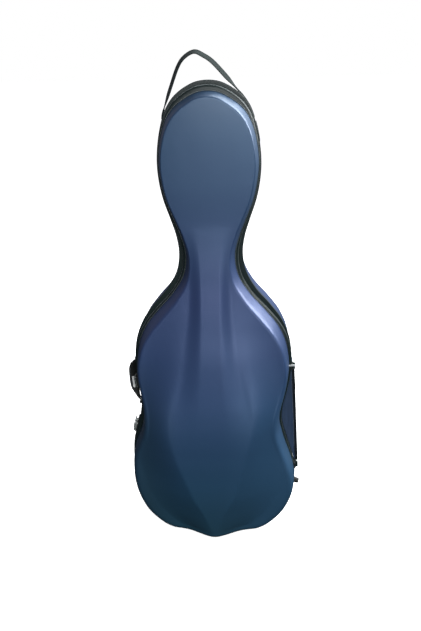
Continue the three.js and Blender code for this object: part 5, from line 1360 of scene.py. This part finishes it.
def interior_pieces():
    slab = lambda x0, x1, prof: rows_part([[(x, y, z) for y, z in prof] for x in (x0, x1)])
    floor = [(12, 26.6), (44, 28.1), (73, 33.1), (90, 39.2)]
    specs = {"end_pad": [slab(-88, -16, floor + [(90, 43.9), (12, 43.9)]), slab(16, 88, floor + [(90, 43.9), (12, 43.9)]),
                         slab(-18, 18, [(12, 26.6), (44, 28.1), (58, 30.5), (58, 31.9), (12, 31.9)]), slab(-18, 18, [(82.2, 36.6), (90, 39.2), (90, 43.9), (82.2, 43.9)]), slab(-18, 18, [(12, 26.6), (18, 26.9), (18, 43.9), (12, 43.9)]),
                         slab(-88, -64, floor + [(90, 55.9), (12, 55.9)]), slab(64, 88, floor + [(90, 55.9), (12, 55.9)])]}
    for name, side in (("left", -1), ("right", 1)):
        s = settle(outline_at(np.linspace(chord_at_z(736), chord_at_z(657), 9)), side)
        rows = []
        for i in range(9):
            p = lambda inset, y: (s["x"][i] - s["nx"][i] * inset, y, s["z"][i] - s["nz"][i] * inset)
            rows.append([p(29, 16), p(50, 16), p(50, 73), p(29, 73)])
        specs["upper_bout_pad_" + name] = [rows_part(rows)]
    specs["neck_cradle"] = [box_part(-48, -26.2, 8, 54, 907, 983), box_part(26.2, 48, 8, 54, 907, 983), box_part(-48, 48, 38.2, 54, 907, 983)]
    specs["scroll_pad"] = [box_part(-42.2, 42.2, 36, 50.2, 1152, 1248)]
    skins = puffed(specs)
    edges = {
        "end_pad": [way_round([(-88, 12, 56), (-64, 12, 56), (-64, 90, 56), (-88, 90, 56)]), way_round([(88, 12, 56), (64, 12, 56), (64, 90, 56), (88, 90, 56)]), way_round([(-16, 18, 44), (16, 18, 44), (16, 82, 44), (-16, 82, 44)])],
        "neck_cradle": [way_round([(-48, 8, z), (-26, 8, z), (-26, 38, z), (26, 38, z), (26, 8, z), (48, 8, z), (48, 54, z), (-48, 54, z)]) for z in (907, 983)],
        "scroll_pad": [way_round([(-42, 36, 1152), (42, 36, 1152), (42, 36, 1248), (-42, 36, 1248)])],
    }
    for name, skin in skins.items():
        k = Piece(name + "_cushion").add(skin)
        for path in edges.get(name, []):
            piping(k, skin, path)
        if name.startswith("upper_bout_pad"):
            side = -1 if name.endswith("left") else 1
            s = settle(outline_at(np.linspace(chord_at_z(734), chord_at_z(659), 14)), side)
            q = lambda i, inset, y: (s["x"][i] - s["nx"][i] * inset, y, s["z"][i] - s["nz"][i] * inset)
            path = [q(i, 50, 18) for i in range(14)] + [q(13, 50, y) for y in np.linspace(22, 68, 10)] + [q(i, 50, 71) for i in range(13, -1, -1)] + [q(0, 50, y) for y in np.linspace(68, 22, 10)]
            piping(k, skin, path)
        ob = k.done("case", [name], "plush_grey", [GREY_PLUSH_MAT, PLUSH_MAT], 60)

    # webbing that closes the cradle, its left end turned back
    path = np.array(bent([(-44.4, 4.7, 945), (-44.4, 0.0, 945), (43.7, 0.0, 945)], 1.3, 5))
    path = np.concatenate([path[:-1], [path[-2] + (path[-1] - path[-2]) * t for t in np.linspace(0.04, 1, 40)]])
    d = np.gradient(path, axis=0)
    d /= np.linalg.norm(d, axis=1)[:, None]
    m = np.stack([d[:, 1], -d[:, 0], 0 * d[:, 0]], 1)
    k = Piece("neck_strap_webbing")
    band(k, path, np.tile([0, 0, 1.0], (len(path), 1)), m, 16.8, 1.3)
    for z in (930.5, 959.5):
        stitches(k, [(x, -1.35, z) for x in np.linspace(-41, 41, 30)], (0, -1, 0), 5.0, 3.4, 0.34, 1)
    for x in (-38.5, -20.5, 38.5, 22.5):
        stitches(k, [(x, -1.35, z) for z in np.linspace(932, 958, 10)], (0, -1, 0), 3.6, 2.6, 0.34, 1)
    k.done("case", ["neck_strap"], "webbing", [WEB_MAT, THREAD_GREY_MAT], 50)

    # bow holders in the lid: fitted foam seat, turning clip, quilted sleeve for the tip
    n = 48
    th = np.arange(n) * 2 * pi / n
    fit = SHELL + FOAM_GAP + FOAM
    for name, side in (("left", -1), ("right", 1)):
        x, z = 168 * side, 262
        near = min(float(lid_depth(x + a, z + b)) for a in (-14, 0, 14) for b in (-14, 0, 14))
        y = -(near - fit) + 0.8
        loop = lambda r, h: [(x + r * math.cos(a), h, z + r * math.sin(a)) for a in th]
        low = [-(float(lid_depth(x + 14.6 * math.cos(a), z + 14.6 * math.sin(a))) - fit) + 0.55 for a in th]
        k = Piece("bow_clip_seat_" + name)
        foot = lambda r, up: [(x + r * math.cos(a), h + up, z + r * math.sin(a)) for a, h in zip(th, low)]
        k.add(rows_part([loop(0.3, y + 9.8), loop(3.3, y + 9.8), loop(3.8, y + 9.3), loop(3.8, y + 7.4), loop(4.4, y + 6.9), loop(12.8, y + 6.8), loop(14.3, y + 6.1), loop(14.75, y + 4.6), foot(14.6, 0.8), foot(13.6, 0.05)]))
        ob = k.done("lid", ["bow_clip_base_" + name], "plush_grey", [GREY_PLUSH_MAT], 50)
        wide = lambda cut: [max((abs(math.cos(a)) / (6.9 - cut)) ** 4 + (abs(math.sin(a)) / (25.8 - cut)) ** 4, 1e-12) ** -0.25 for a in th]
        shape = lambda cut: [max(r, 7.7 - cut) for r in wide(cut)]
        ringed = lambda rs, h: [(x + r * math.cos(a), y + h, z + r * math.sin(a)) for r, a in zip(rs, th)]
        k = Piece("bow_clip_swivel_" + name)
        k.add(rows_part([loop(0.3, y + 10.5), loop(4.3, y + 10.5), loop(4.45, y + 10.3), loop(4.45, y + 7.9), loop(4.7, y + 7.7), ringed(shape(0.7), 7.7), ringed(shape(0.1), 8.3), ringed(shape(0.0), 12.0), ringed(shape(0.5), 12.7), ringed(shape(1.2), 12.9), loop(6.3, y + 12.95), loop(5.9, y + 13.9), loop(5.0, y + 14.35), loop(2.2, y + 14.4), loop(1.9, y + 13.9), loop(0.3, y + 13.9)]))
        for s in (-1, 1):
            for j in range(4):
                k.add(rbox(x - 3.6, x + 3.6, y + 12.7, y + 13.2, z + s * (12 + j * 3.2) - 0.6, z + s * (12 + j * 3.2) + 0.6, 0.22, 2))
        k.done("bow_clip_turn_" + name, ["bow_clip_turn_" + name], "rim_black", [RIM_MAT])
        sx = 21.5 * side
        sec = lambda hx, y0, y1, r, zz, puff=0.0: [(sx + a, b, zz) for a, b in rrect(-hx - puff, hx + puff, y0 - puff, y1 + puff, r, 5)]
        rows = [sec(0.4, -35.7, -35.3, 0.1, 951.9), sec(9.8, -39.8, -31.2, 3.4, 951.9), sec(10.5, -40.5, -30.5, 4, 950.8)]
        rows += [sec(10.6, -40.6, -30.4, 4, zz) for zz in np.linspace(948, 889, 10)]
        rows += [sec(10.9, -40.9, -30.1, 4.2, 886.2), sec(11.5, -41.5, -29.5, 4.6, 885.1), sec(12.2, -42.2, -28.8, 5, 885.1), sec(12.8, -42.8, -28.2, 5.4, 886.2)]
        for zz in np.linspace(888, 951.5, 46):
            quilt = 0.28 * abs(math.sin((zz - 888) * pi / 12.7)) ** 0.6
            rows.append(sec(12.4, -42.4, -28.6, 5.2, zz, quilt))
        rows += [sec(12.0, -42.0, -29.0, 5, 954.2), sec(10.8, -40.8, -30.2, 4, 954.9), sec(0.4, -35.7, -35.3, 0.1, 954.9)]
        k = Piece("bow_tip_quilted_sleeve_" + name).add(rows_part(rows))
        k.add(tube([(sx + a, b, 886.4) for a, b in rrect(-12.55, 12.55, -42.55, -28.45, 5.2, 6)], 0.42, 6, closed=True), None, 1)
        ob = k.done("lid", ["bow_tip_sleeve_" + name], "plush_grey", [GREY_PLUSH_MAT, PLUSH_MAT], 60)


hinge_pieces()
latch_pieces()
handle_pieces()
strap_pieces()
pocket_pieces()
foot_pieces()
back_ring_pieces()
interior_pieces()

# every CAD node that keeps its shape gets a material of its own
BY_SLOT = {"rim_black": RIM_MAT, "rubber": RUBBER_MAT, "steel": STEEL_MAT, "plush": PLUSH_MAT, "plush_grey": GREY_PLUSH_MAT, "shell_blue": SHELL_MAT, "webbing": WEB_LOCAL_MAT, "pocket_fabric": POCKET_MAT}
slots = {r["node"]: r.get("material_slot") for r in frame["record"]["subparts"]}
for n, o in NODES.items():
    if not o.hide_render and slots.get(n) in BY_SLOT:
        o.data.materials.clear()
        o.data.materials.append(BY_SLOT[slots[n]])


# ================================================================ stage
def plain(name, colour, rough=0.8):
    m = bpy.data.materials.new(name)
    m.use_nodes = True
    b = m.node_tree.nodes["Principled BSDF"]
    b.inputs["Base Color"].default_value = (*colour, 1)
    b.inputs["Roughness"].default_value = rough
    return m


def area(name, place, look_at, size, power, colour=(1, 1, 1), spread=180):
    d = bpy.data.lights.new(name, "AREA")
    d.shape = "RECTANGLE"
    d.size, d.size_y = size
    d.energy = power
    d.color = colour
    d.spread = spread * RAD
    o = link(bpy.data.objects.new(name, d))
    o.location = place
    o.rotation_euler = (Vector(look_at) - Vector(place)).to_track_quat("-Z", "Y").to_euler()
    return o


def studio():
    scene = bpy.context.scene
    w = bpy.data.worlds.new("studio")
    scene.world = w
    w.use_nodes = True
    t = w.node_tree
    t.nodes.clear()

    def n(kind, **props):
        x = t.nodes.new(kind)
        for k, v in props.items():
            setattr(x, k, v)
        return x

    def ramp(src, stops):
        r = n("ShaderNodeValToRGB")
        r.color_ramp.interpolation = "EASE"
        e = r.color_ramp.elements
        while len(e) < len(stops):
            e.new(0.5)
        for el, (at, c) in zip(e, stops):
            el.position, el.color = at, (*c, 1)
        m = n("ShaderNodeMath", operation="MULTIPLY_ADD")
        m.inputs[1].default_value = m.inputs[2].default_value = 0.5
        t.links.new(src, m.inputs[0])
        t.links.new(m.outputs[0], r.inputs[0])
        return r.outputs[0]

    def times(a, b):
        m = n("ShaderNodeMix", data_type="RGBA", blend_type="MULTIPLY")
        m.inputs[0].default_value = 1
        t.links.new(a, m.inputs[6])
        t.links.new(b, m.inputs[7])
        return m.outputs[2]

    # a soft room: dim below and to the left, bright above and to the right; its backdrop is white
    way = n("ShaderNodeTexCoord").outputs["Generated"]
    sep = n("ShaderNodeSeparateXYZ")
    t.links.new(way, sep.inputs[0])
    rise = ramp(sep.outputs[2], [(0.0, (0.020, 0.026, 0.026)), (0.26, (0.035, 0.050, 0.052)), (0.36, (0.075, 0.10, 0.11)), (0.46, (0.17, 0.19, 0.21)), (0.56, (0.34, 0.35, 0.37)), (0.75, (0.44, 0.45, 0.46)), (1.0, (0.50, 0.51, 0.52))])
    side = ramp(sep.outputs[0], [(0.0, (0.42, 0.36, 0.45)), (0.25, (0.52, 0.48, 0.55)), (0.5, (0.80, 0.80, 0.80)), (0.75, (1.0, 1.0, 1.0)), (1.0, (1.0, 1.0, 1.0))])
    room = n("ShaderNodeBackground")
    t.links.new(times(rise, side), room.inputs[0])
    room.inputs[1].default_value = 1.0
    back = n("ShaderNodeBackground")
    back.inputs[0].default_value = (1, 1, 1, 1)
    pick = n("ShaderNodeMixShader")
    t.links.new(n("ShaderNodeLightPath").outputs["Is Camera Ray"], pick.inputs[0])
    t.links.new(room.outputs[0], pick.inputs[1])
    t.links.new(back.outputs[0], pick.inputs[2])
    t.links.new(pick.outputs[0], n("ShaderNodeOutputWorld").inputs[0])

    ground = plain("studio_floor", (0.90, 0.90, 0.90), 0.9)
    b = ground.node_tree.nodes["Principled BSDF"]
    b.inputs["Emission Color"].default_value = (1, 1, 1, 1)
    b.inputs["Emission Strength"].default_value = 0.76
    b.inputs["Specular IOR Level"].default_value = 0
    floor = raw_mesh("studio_floor", [(-30, -30, -0.0005), (30, -30, -0.0005), (30, 30, -0.0005), (-30, 30, -0.0005)], [(0, 1, 2, 3)], ground, sharp=0)
    floor.visible_glossy = floor.visible_diffuse = False
    area("key_right_top", (2.1, 0.9, 2.5), (0.05, 0, 0.95), (1.3, 2.4), 150)
    area("front_soft", (0.95, -4.4, 2.4), (0, 0, 0.6), (3.6, 3.0), 190, (0.95, 0.99, 1.0))
    area("edge_right_back", (1.2, 2.2, 3.6), (0, 0, 1.25), (2.4, 2.0), 72, (0.88, 0.96, 1.0))
    scene.view_settings.view_transform = "Standard"
    scene.view_settings.look = "None"


studio()
